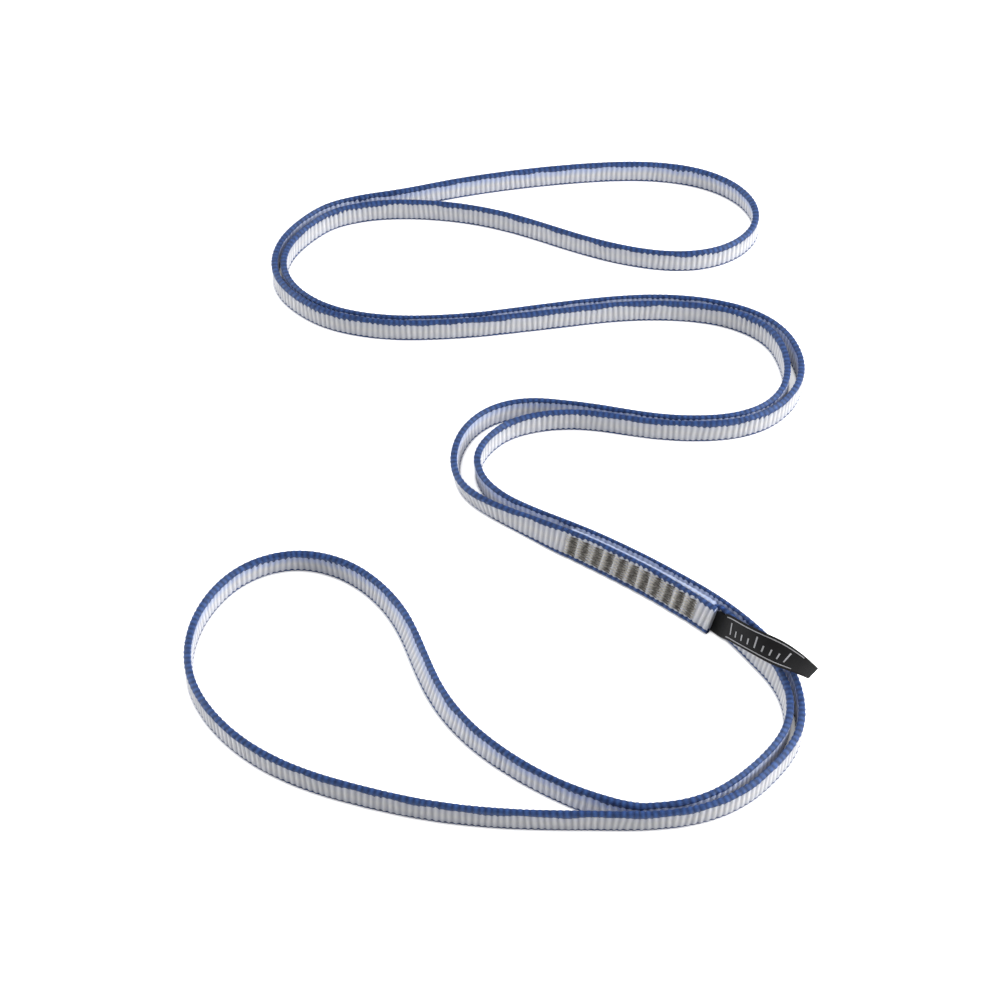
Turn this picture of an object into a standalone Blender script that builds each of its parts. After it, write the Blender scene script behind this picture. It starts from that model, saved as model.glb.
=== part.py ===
"""A climbing sling: thin flat webbing stood on its edge, its ends overlapped and bar-tacked into one loop.

The webbing lies doubled in an S, with a teardrop loop at each end. A woven label is sewn in between the two
layers of the seam, and its free length flaps about the seam's end. Metres, +Z up; the origin is on the floor
under the middle of the sling.
"""

import math

import bmesh
import bpy
import numpy as np
from mathutils import Matrix, Vector

# Webbing
WEBBING_WIDTH = 0.01
WEBBING_THICKNESS = 0.0021
SELVEDGE_ROUNDING = 0.00065
FLOOR_CUT = 0.0005
RING_SPACING = 0.007
FINE_STEP = 0.0005

# Seam, where the webbing's two ends overlap
LAYER_GAP = 0.0005
SEAM_END_ALONG = 0.6357
SEAM_LENGTH = 0.0712
LAYER_EASING = 0.026
MOUTH_LENGTH = 0.034
MOUTH_EASING = 0.024
MOUTH_INWARD_SHARE = 0.25

# Bar tacks
TACK_COUNT = 11
FIRST_TACK_FROM_END = 0.0106
LAST_TACK_FROM_HIDDEN_END = 0.0041
TACK_LENGTH = 0.0032
TACK_HEIGHT_SHARE = 0.72
TACK_PAD_THICKNESS = 0.00035
TACK_SINKS_IN = 0.00045
TACK_LEG_LENGTH = 0.0014
TACK_LEG_HEIGHT_SHARE = 0.47
TACK_ROUNDING = 0.00025
SEAT_GAP = 0.0003

# Label
LABEL_WIDTH = 0.0098
LABEL_THICKNESS = 0.0005
LABEL_ROUNDING = 0.00015
LABEL_CLEARANCE = 0.0004
LABEL_ROOT_LENGTH = 0.0125
LABEL_ROOT_SHOWS = 0.00015
LABEL_RING_SPACING = 0.003
TIP_SLANT = 0.0045
SLANTED_RINGS = 3

# The route is chosen by hand in millimetres, seen from above, before it is moved over the origin.
ROUTE_UNIT = 0.001
ROUTE_CENTRE = (6.75, 20.97)
ROUTE_LEAD_STEP = 0.016
LEAD_POINTS = 4

# The doubled stretch: x, y, clear gap between its two strands, and the lean in degrees of the strand on the
# left and of the one on the right, each with its top towards the left of travel.
DOUBLED_ROUTE = (
    (-63.0, 182.3, 3.4, 0, 0),
    (-74.2, 177.8, 3.0, 0, 0),
    (-86.3, 166.8, 2.8, 0, 0),
    (-94.7, 152.6, 2.2, 0, 0),
    (-96.9, 138.0, 1.8, 0, 0),
    (-93.5, 125.8, 1.6, 0, 0),
    (-86.3, 116.0, 1.0, 0, 0),
    (-75.2, 107.4, 0.9, 0, 0),
    (-59.8, 101.5, 0.9, 0, 0),
    (-42.0, 99.0, 1.0, 0, 0),
    (-24.0, 99.4, 1.0, 0, 0),
    (-7.0, 101.2, 1.2, 0, 0),
    (10.1, 104.2, 1.6, 0, 0),
    (28.0, 107.5, 2.0, 0, 0),
    (46.0, 110.6, 1.9, 0, 0),
    (64.0, 112.4, 2.0, 0, 0),
    (82.0, 111.9, 1.9, 0, 0),
    (98.2, 108.6, 1.6, 0, 0),
    (111.5, 102.2, 1.8, 2, 2),
    (121.5, 91.8, 2.4, 4, 4),
    (126.3, 78.5, 3.5, 4, 4),
    (126.8, 65.5, 3.6, 0, 0),
    (122.4, 53.0, 2.4, 0, 0),
    (114.3, 43.6, 1.6, 0, 0),
    (102.0, 37.4, 1.4, 0, 0),
    (85.0, 35.1, 1.3, 0, 0),
    (68.0, 36.2, 1.3, 0, 0),
    (52.2, 39.4, 1.6, 0, 0),
    (39.2, 42.1, 2.2, 0, 0),
    (27.0, 43.3, 4.0, 0, 0),
    (14.0, 42.6, 7.2, 0, 0),
    (1.7, 38.0, 9.0, 0, 0),
    (-7.4, 28.4, 8.7, 0, -3),
    (-11.9, 15.0, 6.9, -2, -8),
    (-9.6, 1.9, 6.2, -4, -14),
    (-2.4, -7.7, 4.2, -2, -12),
    (8.5, -16.3, 2.7, 5, -2),
    (21.4, -24.1, 2.1, 14, 12),
    (33.3, -31.1, 1.9, 22, 22),
    (45.1, -38.7, 1.9, 26, 26),
    (57.0, -47.0, 1.9, 28, 28),
    (68.9, -56.0, 1.9, 27, 27),
    (81.0, -66.0, 2.1, 24, 24),
    (91.8, -77.0, 2.1, 22, 22),
    (101.3, -89.4, 2.1, 18, 16),
    (107.8, -102.1, 1.8, 12, 9),
    (110.6, -116.0, 1.8, 5, 4),
    (108.4, -130.2, 2.6, 0, 1),
    (100.7, -142.5, 2.8, 0, 0),
    (90.5, -153.1, 2.9, 1, 0),
    (79.3, -160.7, 2.0, 4, 2),
    (66.5, -165.1, 1.3, 6, 4),
    (53.0, -166.7, 1.2, 6, 5),
)

# The two end loops: x, y and lean, from the right strand round to the left one at the start of the doubled
# stretch, and from the left one round to the right one at its end.
FAR_LOOP_ROUTE = (
    (-44.3, 190.0, 0),
    (-22.3, 196.7, 0),
    (0.7, 202.6, 0),
    (23.8, 207.0, 0),
    (46.0, 209.9, 0),
    (66.0, 210.8, 0),
    (84.0, 208.8, 0),
    (99.8, 203.1, -2),
    (111.8, 193.4, -4),
    (118.5, 180.4, -5),
    (118.3, 167.6, -3),
    (110.6, 155.0, 0),
    (97.8, 147.1, 0),
    (82.0, 144.6, 0),
    (65.0, 146.9, 0),
    (46.8, 152.9, 0),
    (28.8, 161.3, 0),
    (10.8, 170.2, 0),
    (-8.1, 177.2, 0),
    (-26.0, 180.9, 0),
    (-44.0, 182.0, 0),
)
NEAR_LOOP_ROUTE = (
    (36.0, -168.3, 5),
    (16.0, -168.0, 4),
    (-6.0, -166.5, 3),
    (-27.0, -163.1, 2),
    (-48.0, -157.4, 0),
    (-69.8, -149.4, 0),
    (-90.0, -137.3, 0),
    (-105.8, -120.8, 0),
    (-115.0, -102.0, 0),
    (-116.2, -82.0, 0),
    (-110.4, -63.2, 0),
    (-98.0, -48.0, -3),
    (-78.7, -41.0, -5),
    (-60.6, -45.7, 3),
    (-46.7, -57.2, 10),
    (-36.9, -71.9, 17),
    (-29.8, -90.1, 22),
    (-22.6, -109.0, 18),
    (-11.5, -126.7, 12),
    (4.1, -142.1, 7),
    (22.0, -154.5, 5),
    (37.7, -161.9, 5),
)

# The label's free length after its fold: x, y and lean, and the heights of its middle as shares of the
# webbing's width.
LABEL_ROUTE = (
    (88.5, -77.2, 21),
    (91.1, -81.7, 22),
    (98.2, -90.6, 32),
    (105.8, -96.8, 59),
    (110.7, -101.6, 83),
    (117.4, -109.5, 110),
)
LABEL_HEIGHT_SHARES = (0.63, 0.9, 1.25, 1.34, 1.44, 1.67)

BLUE = (0.055, 0.105, 0.33, 1.0)
THREAD_GREY = (0.20, 0.18, 0.16, 1.0)
LABEL_BLACK = (0.012, 0.012, 0.014, 1.0)


def natural_cubic(points, spacing):
    """Rows read every spacing from a smooth curve through the points, whose first two columns are x and y."""
    points = np.asarray(points, float)
    steps = np.hypot(*np.diff(points[:, :2], axis=0).T)
    knots = np.concatenate([[0.0], np.cumsum(steps)])
    count = len(points)
    system = np.eye(count)
    slopes = np.zeros_like(points)
    for i in range(1, count - 1):
        system[i, i - 1 : i + 2] = steps[i - 1], 2 * (steps[i - 1] + steps[i]), steps[i]
        slopes[i] = 6 * ((points[i + 1] - points[i]) / steps[i] - (points[i] - points[i - 1]) / steps[i - 1])
    bends = np.linalg.solve(system, slopes)
    reading = np.linspace(0.0, knots[-1], max(2, round(knots[-1] / spacing) + 1))
    i = np.clip(np.searchsorted(knots, reading, side="right") - 1, 0, count - 2)
    before = (reading - knots[i])[:, None]
    after = (knots[i + 1] - reading)[:, None]
    step = steps[i][:, None]
    curve = (bends[i] * after**3 + bends[i + 1] * before**3) / (6 * step)
    curve += (points[i] / step - bends[i] * step / 6) * after
    curve += (points[i + 1] / step - bends[i + 1] * step / 6) * before
    return curve


def left_normals(route):
    """Unit vectors to the left of travel, seen from above."""
    travel = np.gradient(route[:, :2], axis=0)
    travel /= np.hypot(*travel.T)[:, None]
    return np.stack([-travel[:, 1], travel[:, 0]], axis=1)


def lengths_along(route):
    """Distance along the route at each of its rows."""
    return np.concatenate([[0.0], np.cumsum(np.hypot(*np.diff(route[:, :2], axis=0).T))])


def ease(share):
    """A smooth step from 0 to 1."""
    share = np.clip(share, 0.0, 1.0)
    return share * share * (3 - 2 * share)


def routed(points, lengths):
    """Hand-chosen points in metres over the origin, where so many first columns are lengths."""
    table = np.array(points, float)
    table[:, :2] -= ROUTE_CENTRE
    table[:, :lengths] *= ROUTE_UNIT
    return table


def reversed_travel(strand):
    """The same strand run the other way, where its lean is to the other side."""
    return strand[::-1] * [1, 1, -1]


class SlingRoute:
    """The webbing's middle line, as rows of x, y and lean, with the seam's two layers apart."""

    def __init__(self):
        self.middle = natural_cubic(routed(DOUBLED_ROUTE, 3), FINE_STEP)
        self.along = lengths_along(self.middle)
        self.across = left_normals(self.middle)
        left = self.strand(1, 0.0)
        self.front = self.strand(-1, self.front_shift())
        self.back = self.strand(-1, self.back_shift())
        outer = reversed_travel(self.front[self.along <= SEAM_END_ALONG])
        inner = reversed_travel(self.back[self.along >= SEAM_END_ALONG - SEAM_LENGTH])
        far = joined(outer, routed(FAR_LOOP_ROUTE, 2), left)
        near = joined(left, routed(NEAR_LOOP_ROUTE, 2), inner)
        self.whole = np.vstack([outer, far, left, near, inner])

    def strand(self, side, shift):
        """One strand of the doubled stretch: side 1 is left of travel, -1 right, and shift moves it left."""
        lean = self.middle[:, 3 if side > 0 else 4]
        half = (self.middle[:, 2] + WEBBING_THICKNESS) / 2
        moved = self.across * ((side * half + shift) / np.cos(np.radians(lean)))[:, None]
        return np.column_stack([self.middle[:, :2] + moved, lean])

    def mouth(self):
        """How much wider the seam's layers stand apart where the label's root lies between them."""
        widening = LABEL_THICKNESS + 2 * LABEL_CLEARANCE - LAYER_GAP
        return widening * ease((self.along - SEAM_END_ALONG + MOUTH_LENGTH) / MOUTH_EASING)

    def front_shift(self):
        """The outer layer moves out over the inner one's hidden end, and a little more at the mouth."""
        into_seam = ease((self.along - SEAM_END_ALONG + SEAM_LENGTH + LAYER_EASING) / LAYER_EASING)
        return -into_seam * (WEBBING_THICKNESS + LAYER_GAP) / 2 - self.mouth() * (1 - MOUTH_INWARD_SHARE)

    def back_shift(self):
        """The inner layer moves in beside the outer one, and comes back to the middle past the seam."""
        out_of_seam = ease((SEAM_END_ALONG + LAYER_EASING - self.along) / LAYER_EASING)
        layer = (WEBBING_THICKNESS + LAYER_GAP) / 2
        return out_of_seam * (layer + self.mouth() * MOUTH_INWARD_SHARE)

    def seam_frame(self, from_end):
        """The middle between the seam's layers, so far back from the seam's end: point, axes and depth.

        The axes run along the webbing, up its width and square to it, and the depth is from the middle to
        each layer's outer face.
        """
        at = SEAM_END_ALONG - from_end
        outer, inner = (
            np.array([np.interp(at, self.along, layer[:, i]) for i in range(3)])
            for layer in (self.front, self.back)
        )
        lean = math.radians((outer[2] + inner[2]) / 2)
        left = Vector([np.interp(at, self.along, self.across[:, i]) for i in range(2)] + [0.0]).normalized()
        up = left * math.sin(lean) + Vector((0.0, 0.0, math.cos(lean)))
        along = left.cross(Vector((0.0, 0.0, 1.0))).normalized()
        middle = Vector(((outer[0] + inner[0]) / 2, (outer[1] + inner[1]) / 2, height_of_middle(lean)))
        apart = math.dist(outer[:2], inner[:2]) * math.cos(lean)
        return Frame(middle, along, up, (apart + WEBBING_THICKNESS) / 2)


class Frame:
    """A place on the webbing: its middle, the unit axes along and up, and the depth to the outer faces."""

    def __init__(self, middle, along, up, depth):
        self.middle = middle
        self.along = along
        self.up = up
        self.out = up.cross(along)
        self.depth = depth

    def point(self, along, up, out):
        """The point so far along the webbing, up its width and out of its face."""
        return self.middle + self.along * along + self.up * up + self.out * out


def height_of_middle(lean):
    """Height of the webbing's middle line when its lower edge is let into the floor by the floor cut."""
    edge = WEBBING_WIDTH / 2 * np.cos(lean) + WEBBING_THICKNESS / 2 * np.abs(np.sin(lean))
    return edge - FLOOR_CUT


def joined(before, points, after):
    """A loop's route from the end of one strand through its own points to the start of another."""
    rows = max(1, round(ROUTE_LEAD_STEP / FINE_STEP))
    lead_in = before[-1 : -rows * LEAD_POINTS : -rows][::-1]
    lead_out = after[0 : rows * LEAD_POINTS : rows]
    table = np.vstack([lead_in, points, lead_out])
    curve = natural_cubic(table, FINE_STEP)
    knots = lengths_along(table)
    reading = np.linspace(0.0, knots[-1], len(curve))
    inside = (reading > knots[len(lead_in) - 1]) & (reading < knots[-len(lead_out)])
    return curve[inside][1:-1]


def chamfered_outline(half_across, half_up, rounding):
    """The corners of a rectangle with cut corners, going round from its right side."""
    corners = []
    for right, top in ((1, 1), (-1, 1), (-1, -1), (1, -1)):
        side = (right * half_across, top * (half_up - rounding))
        end = (right * (half_across - rounding), top * half_up)
        corners += [side, end] if right == top else [end, side]
    return corners


def skinned(name, stacks):
    """An object of closed solids, each through a stack of rings of points and capped at both ends."""
    mesh = bmesh.new()
    for rings in stacks:
        rows = [[mesh.verts.new(point) for point in ring] for ring in rings]
        for row, following in zip(rows, rows[1:]):
            for i, corner in enumerate(row):
                beside = (i + 1) % len(row)
                mesh.faces.new((corner, row[beside], following[beside], following[i]))
        mesh.faces.new(rows[0][::-1])
        mesh.faces.new(rows[-1])
    bmesh.ops.recalc_face_normals(mesh, faces=mesh.faces)
    data = bpy.data.meshes.new(name)
    mesh.to_mesh(data)
    mesh.free()
    made = bpy.data.objects.new(name, data)
    bpy.context.scene.collection.objects.link(made)
    return made


def piece(name, rings, colour, roughness):
    """One named piece of the sling, with its finish."""
    made = skinned(name, [rings])
    made.data.materials.append(material(name, colour, roughness))
    return made


def material(name, colour, roughness):
    """A plain finish for one piece."""
    made = bpy.data.materials.new(name)
    made.use_nodes = True
    shader = made.node_tree.nodes["Principled BSDF"]
    shader.inputs["Base Color"].default_value = colour
    shader.inputs["Roughness"].default_value = roughness
    shader.inputs["Metallic"].default_value = 0.0
    return made


def cut(solid, guide):
    """Cuts a guide out of a solid, and hides the guide."""
    guide.hide_render = True
    guide.display_type = "WIRE"
    boolean = solid.modifiers.new(guide.name, "BOOLEAN")
    boolean.operation = "DIFFERENCE"
    boolean.solver = "EXACT"
    boolean.object = guide


def webbing_rings(route):
    """The webbing's section, stood on edge with its lean, at even steps along the whole route."""
    stations = lengths_along(route)
    reading = np.linspace(0.0, stations[-1], round(stations[-1] / RING_SPACING) + 1)
    across = left_normals(route)
    columns = np.column_stack([route, across])
    rows = np.stack([np.interp(reading, stations, column) for column in columns.T], axis=1)
    outline = chamfered_outline(WEBBING_THICKNESS / 2, WEBBING_WIDTH / 2, SELVEDGE_ROUNDING)
    rings = []
    for x, y, degrees, left_x, left_y in rows:
        lean = math.radians(degrees)
        left = Vector((left_x, left_y, 0.0)).normalized()
        up = left * math.sin(lean) + Vector((0.0, 0.0, math.cos(lean)))
        face = left * math.cos(lean) - Vector((0.0, 0.0, math.sin(lean)))
        middle = Vector((x, y, height_of_middle(lean)))
        rings.append([middle - face * side + up * height for side, height in outline])
    return rings


def least_gap(route):
    """The webbing's least gap to itself, face to face, measured on points along its middle line."""
    points = route[:: max(1, round(WEBBING_THICKNESS / FINE_STEP))]
    along = lengths_along(route)[:: max(1, round(WEBBING_THICKNESS / FINE_STEP))]
    upright = np.cos(np.radians(points[:, 2]))
    least = math.inf
    for i, point in enumerate(points):
        apart = np.hypot(*(points[:, :2] - point[:2]).T) * np.minimum(upright, upright[i])
        others = apart[np.abs(along - along[i]) > WEBBING_WIDTH * 2]
        least = min(least, others.min())
    return least - WEBBING_THICKNESS


def floor_rings(reach):
    """A block under the floor, as its lower and its upper outline."""
    corners = ((reach, reach), (-reach, reach), (-reach, -reach), (reach, -reach))
    return [[(x, y, z) for x, y in corners] for z in (-WEBBING_WIDTH, 0.0)]


def tack_guide_rings(frame):
    """The room that a bar tack takes in the webbing: a slit, and a hollow on each face for its pad."""
    pad = (TACK_LENGTH / 2 + SEAT_GAP, WEBBING_WIDTH * TACK_HEIGHT_SHARE / 2 + SEAT_GAP)
    leg = (TACK_LEG_LENGTH / 2 + SEAT_GAP, WEBBING_WIDTH * TACK_LEG_HEIGHT_SHARE / 2 + SEAT_GAP)
    floor = frame.depth - TACK_SINKS_IN
    clear = frame.depth + SEAT_GAP
    stack = ((clear, pad), (floor, pad), (floor, leg), (-floor, leg), (-floor, pad), (-clear, pad))
    return stacked_rings(frame, stack)


def tack_rings(frame):
    """A bar tack from its front pad through the slit to its back pad."""
    inner = frame.depth - TACK_SINKS_IN + SEAT_GAP
    outer = inner + TACK_PAD_THICKNESS
    shoulder = outer - TACK_ROUNDING
    pad = (TACK_LENGTH / 2, WEBBING_WIDTH * TACK_HEIGHT_SHARE / 2)
    crown = (pad[0] - TACK_ROUNDING, pad[1] - TACK_ROUNDING)
    leg = (TACK_LEG_LENGTH / 2, WEBBING_WIDTH * TACK_LEG_HEIGHT_SHARE / 2)
    front = ((outer, crown), (shoulder, pad), (inner, pad), (inner, leg))
    back = tuple((-out, half) for out, half in front[::-1])
    return stacked_rings(frame, front + back)


def stacked_rings(frame, stack):
    """Rings of corners out of the webbing's face, from pairs of a depth and the half sizes there."""
    rise = FLOOR_CUT / 2
    rings = []
    for out, (length, height) in stack:
        outline = chamfered_outline(length, height, TACK_ROUNDING)
        rings.append([frame.point(along, up + rise, out) for along, up in outline])
    return rings


def add_webbing(route, tack_guide):
    """The one long piece of webbing, cut flat where it stands, with the bar tacks' slits and hollows."""
    webbing = piece("webbing", webbing_rings(route.whole), BLUE, 0.8)
    reach = float(np.abs(route.whole[:, :2]).max()) + WEBBING_WIDTH
    cut(webbing, skinned("floor_guide", [floor_rings(reach)]))
    cut(webbing, tack_guide)


def add_bar_tacks(tack_frames):
    """The blocks of thread that sew the two layers together, counted from the seam's open end."""
    for number, frame in enumerate(tack_frames, start=1):
        piece(f"bar_tack_{number:02d}", tack_rings(frame), THREAD_GREY, 0.7)


def label_outline(slant_share):
    """The label's section, and how far each corner trails where its end is cut on a slant."""
    outline = chamfered_outline(LABEL_THICKNESS / 2, LABEL_WIDTH / 2, LABEL_ROUNDING)
    return [(out, up, -TIP_SLANT * slant_share * up / LABEL_WIDTH) for out, up in outline]


def label_frame(route, from_end):
    """The label's place between the layers, raised so that its lower edge clears the floor."""
    frame = route.seam_frame(from_end)
    rise = (LABEL_WIDTH - WEBBING_WIDTH) / 2 + FLOOR_CUT
    return Frame(frame.point(0.0, rise, 0.0), frame.along, frame.up, LABEL_THICKNESS / 2)


def add_label_root(route, tack_guide):
    """The end of the label that is sewn in between the layers, with the first tack's slit through it."""
    count = round(LABEL_ROOT_LENGTH / LABEL_RING_SPACING) + 1
    rings = []
    for from_end in np.linspace(LABEL_ROOT_LENGTH, -LABEL_ROOT_SHOWS, count):
        frame = label_frame(route, from_end)
        rings.append([frame.point(0.0, up, out) for out, up, _ in label_outline(0.0)])
    root = piece("label_root", rings, LABEL_BLACK, 0.6)
    cut(root, tack_guide)


def label_rings(hinge):
    """The label's free length, from its fold out over the webbing, as rings in the hinge's own frame."""
    start = [*hinge.middle, math.degrees(math.asin(hinge.up.to_2d().length))]
    ahead = hinge.point(LABEL_RING_SPACING, 0.0, 0.0)
    free = routed(LABEL_ROUTE, 2)
    heights = np.array(LABEL_HEIGHT_SHARES) * WEBBING_WIDTH
    free = np.column_stack([free[:, :2], heights, free[:, 2]])
    points = np.vstack([start, [*ahead, start[3]], free])
    curve = natural_cubic(points, LABEL_RING_SPACING)
    travel = np.gradient(curve[:, :3], axis=0)
    across = left_normals(curve)
    last = len(curve) - 1
    rings = []
    for i, (x, y, z, degrees) in enumerate(curve):
        along = Vector(travel[i]).normalized()
        lean = math.radians(degrees)
        up = Vector((*(across[i] * math.sin(lean)), math.cos(lean)))
        square_up = (up - along * up.dot(along)).normalized()
        frame = Frame(Vector((x, y, z)), along, square_up, LABEL_THICKNESS / 2)
        slant = max(0.0, 1.0 - (last - i) / SLANTED_RINGS)
        rings.append([frame.point(trail, up, out) for out, up, trail in label_outline(slant)])
    return rings


def add_label_tab(route):
    """The free length of the label, on an empty whose Z is the fold it flaps about."""
    hinge = label_frame(route, -(LABEL_ROOT_SHOWS + SEAT_GAP + LABEL_THICKNESS / 2))
    axes = Matrix((hinge.along, hinge.out, -hinge.up)).transposed().to_4x4()
    fold = bpy.data.objects.new("label_fold", None)
    fold.matrix_world = Matrix.Translation(hinge.middle) @ axes
    bpy.context.scene.collection.objects.link(fold)
    to_fold = fold.matrix_world.inverted()
    rings = [[to_fold @ point for point in ring] for ring in label_rings(hinge)]
    tab = piece("label_tab", rings, LABEL_BLACK, 0.6)
    tab.parent = fold
    print("label fold at", [round(v, 6) for v in hinge.middle], "axis", [round(-v, 6) for v in hinge.up])


def main():
    """Builds the sling in an empty scene."""
    for old in list(bpy.data.objects):
        bpy.data.objects.remove(old, do_unlink=True)
    route = SlingRoute()
    stations = np.linspace(FIRST_TACK_FROM_END, SEAM_LENGTH - LAST_TACK_FROM_HIDDEN_END, TACK_COUNT)
    tack_frames = [route.seam_frame(from_end) for from_end in stations]
    tack_guide = skinned("tack_guide", [tack_guide_rings(frame) for frame in tack_frames])
    add_webbing(route, tack_guide)
    add_bar_tacks(tack_frames)
    add_label_root(route, tack_guide)
    add_label_tab(route)
    print("webbing length", round(float(lengths_along(route.whole)[-1]), 4), "m")
    print("least gap of the webbing to itself", round(float(least_gap(route.whole)), 5), "m")


main()
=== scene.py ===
"""A climbing sling of flat ribbed webbing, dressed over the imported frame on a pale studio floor.

The webbing's white core and its two blue selvedges are woven anew along the frame's route, ring by ring, with
every rib and every tooth of the blue edge in the mesh. The bar tacks are sewn from single stitches, and the
label is a woven tab that bends where it leaves the seam. Metres, +Z up, in the frame's own coordinates.
"""

import itertools
import logging
import math
from collections.abc import Iterable, Sequence
from dataclasses import dataclass, field
from enum import Enum

import bmesh
import bpy
import numpy as np
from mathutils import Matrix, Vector


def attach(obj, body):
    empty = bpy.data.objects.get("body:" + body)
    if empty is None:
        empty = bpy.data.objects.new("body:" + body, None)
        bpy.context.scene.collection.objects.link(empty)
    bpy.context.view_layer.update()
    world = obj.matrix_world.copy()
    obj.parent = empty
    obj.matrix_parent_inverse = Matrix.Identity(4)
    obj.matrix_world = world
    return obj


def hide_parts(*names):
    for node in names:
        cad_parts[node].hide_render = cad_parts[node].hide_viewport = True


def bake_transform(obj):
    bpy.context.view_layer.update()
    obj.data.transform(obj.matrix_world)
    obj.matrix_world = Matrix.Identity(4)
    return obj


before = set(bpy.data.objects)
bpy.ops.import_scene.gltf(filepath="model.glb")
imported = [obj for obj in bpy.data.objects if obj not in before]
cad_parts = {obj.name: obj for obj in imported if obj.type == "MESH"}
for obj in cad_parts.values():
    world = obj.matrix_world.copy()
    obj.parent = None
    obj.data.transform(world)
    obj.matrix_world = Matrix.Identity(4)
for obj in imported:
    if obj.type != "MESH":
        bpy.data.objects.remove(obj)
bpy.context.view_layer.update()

LOG = logging.getLogger("sling")
WEAVE_MAP = "weave"
BAKE_MAP = "OFBake"
RIB_MASK = "rib"
RIM_MASK = "rim"
# The mesh's mask of the thread's painted shade
PAINTED_SHADE_MASK = "pressed"
QUARTER_TURN = 0.25
MM = 0.001

# The share of its height that a row of the bake map fills, and how near a tube's doubled points are joined.
ROW_FILL = 0.92
SEAM_WELD = 1e-8

# A span is a low and a high value. An outline holds each corner's distance to the left and its height at
# every ring.
Colour = tuple[float, float, float, float]
Span = tuple[float, float]
Outline = list[tuple[np.ndarray, np.ndarray]]
WHITE: Colour = (1.0, 1.0, 1.0, 1.0)

# The route is given in millimetres, seen from above, before it is moved over the origin. The doubled
# stretch: x, y, clear gap between its two strands, and the lean in degrees of the left and the right strand.
DOUBLED_ROUTE = (
    (-63.0, 182.3, 3.4, 0, 0),
    (-74.2, 177.8, 3.0, 0, 0),
    (-86.3, 166.8, 2.8, 0, 0),
    (-94.7, 152.6, 2.2, 0, 0),
    (-96.9, 138.0, 1.8, 0, 0),
    (-93.5, 125.8, 1.6, 0, 0),
    (-86.3, 116.0, 1.0, 0, 0),
    (-75.2, 107.4, 0.9, 0, 0),
    (-59.8, 101.5, 0.9, 0, 0),
    (-42.0, 99.0, 1.0, 0, 0),
    (-24.0, 99.4, 1.0, 0, 0),
    (-7.0, 101.2, 1.2, 0, 0),
    (10.1, 104.2, 1.6, 0, 0),
    (28.0, 107.5, 2.0, 0, 0),
    (46.0, 110.6, 1.9, 0, 0),
    (64.0, 112.4, 2.0, 0, 0),
    (82.0, 111.9, 1.9, 0, 0),
    (98.2, 108.6, 1.6, 0, 0),
    (111.5, 102.2, 1.8, 2, 2),
    (121.5, 91.8, 2.4, 4, 4),
    (126.3, 78.5, 3.5, 4, 4),
    (126.8, 65.5, 3.6, 0, 0),
    (122.4, 53.0, 2.4, 0, 0),
    (114.3, 43.6, 1.6, 0, 0),
    (102.0, 37.4, 1.4, 0, 0),
    (85.0, 35.1, 1.3, 0, 0),
    (68.0, 36.2, 1.3, 0, 0),
    (52.2, 39.4, 1.6, 0, 0),
    (39.2, 42.1, 2.2, 0, 0),
    (27.0, 43.3, 4.0, 0, 0),
    (14.0, 42.6, 7.2, 0, 0),
    (1.7, 38.0, 9.0, 0, 0),
    (-7.4, 28.4, 8.7, 0, -3),
    (-11.9, 15.0, 6.9, -2, -8),
    (-9.6, 1.9, 6.2, -4, -14),
    (-2.4, -7.7, 4.2, -2, -12),
    (8.5, -16.3, 2.7, 5, -2),
    (21.4, -24.1, 2.1, 14, 12),
    (33.3, -31.1, 1.9, 22, 22),
    (45.1, -38.7, 1.9, 26, 26),
    (57.0, -47.0, 1.9, 28, 28),
    (68.9, -56.0, 1.9, 27, 27),
    (81.0, -66.0, 2.1, 24, 24),
    (91.8, -77.0, 2.1, 22, 22),
    (101.3, -89.4, 2.1, 18, 16),
    (107.8, -102.1, 1.8, 12, 9),
    (110.6, -116.0, 1.8, 5, 4),
    (108.4, -130.2, 2.6, 0, 1),
    (100.7, -142.5, 2.8, 0, 0),
    (90.5, -153.1, 2.9, 1, 0),
    (79.3, -160.7, 2.0, 4, 2),
    (66.5, -165.1, 1.3, 6, 4),
    (53.0, -166.7, 1.2, 6, 5),
)

# The two end loops: x, y and lean, from one strand of the doubled stretch round to the other.
FAR_LOOP_ROUTE = (
    (-44.3, 190.0, 0),
    (-22.3, 196.7, 0),
    (0.7, 202.6, 0),
    (23.8, 207.0, 0),
    (46.0, 209.9, 0),
    (66.0, 210.8, 0),
    (84.0, 208.8, 0),
    (99.8, 203.1, -2),
    (111.8, 193.4, -4),
    (118.5, 180.4, -5),
    (118.3, 167.6, -3),
    (110.6, 155.0, 0),
    (97.8, 147.1, 0),
    (82.0, 144.6, 0),
    (65.0, 146.9, 0),
    (46.8, 152.9, 0),
    (28.8, 161.3, 0),
    (10.8, 170.2, 0),
    (-8.1, 177.2, 0),
    (-26.0, 180.9, 0),
    (-44.0, 182.0, 0),
)
NEAR_LOOP_ROUTE = (
    (36.0, -168.3, 5),
    (16.0, -168.0, 4),
    (-6.0, -166.5, 3),
    (-27.0, -163.1, 2),
    (-48.0, -157.4, 0),
    (-69.8, -149.4, 0),
    (-90.0, -137.3, 0),
    (-105.8, -120.8, 0),
    (-115.0, -102.0, 0),
    (-116.2, -82.0, 0),
    (-110.4, -63.2, 0),
    (-98.0, -48.0, -3),
    (-78.7, -41.0, -5),
    (-60.6, -45.7, 3),
    (-46.7, -57.2, 10),
    (-36.9, -71.9, 17),
    (-29.8, -90.1, 22),
    (-22.6, -109.0, 18),
    (-11.5, -126.7, 12),
    (4.1, -142.1, 7),
    (22.0, -154.5, 5),
    (37.7, -161.9, 5),
)

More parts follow.
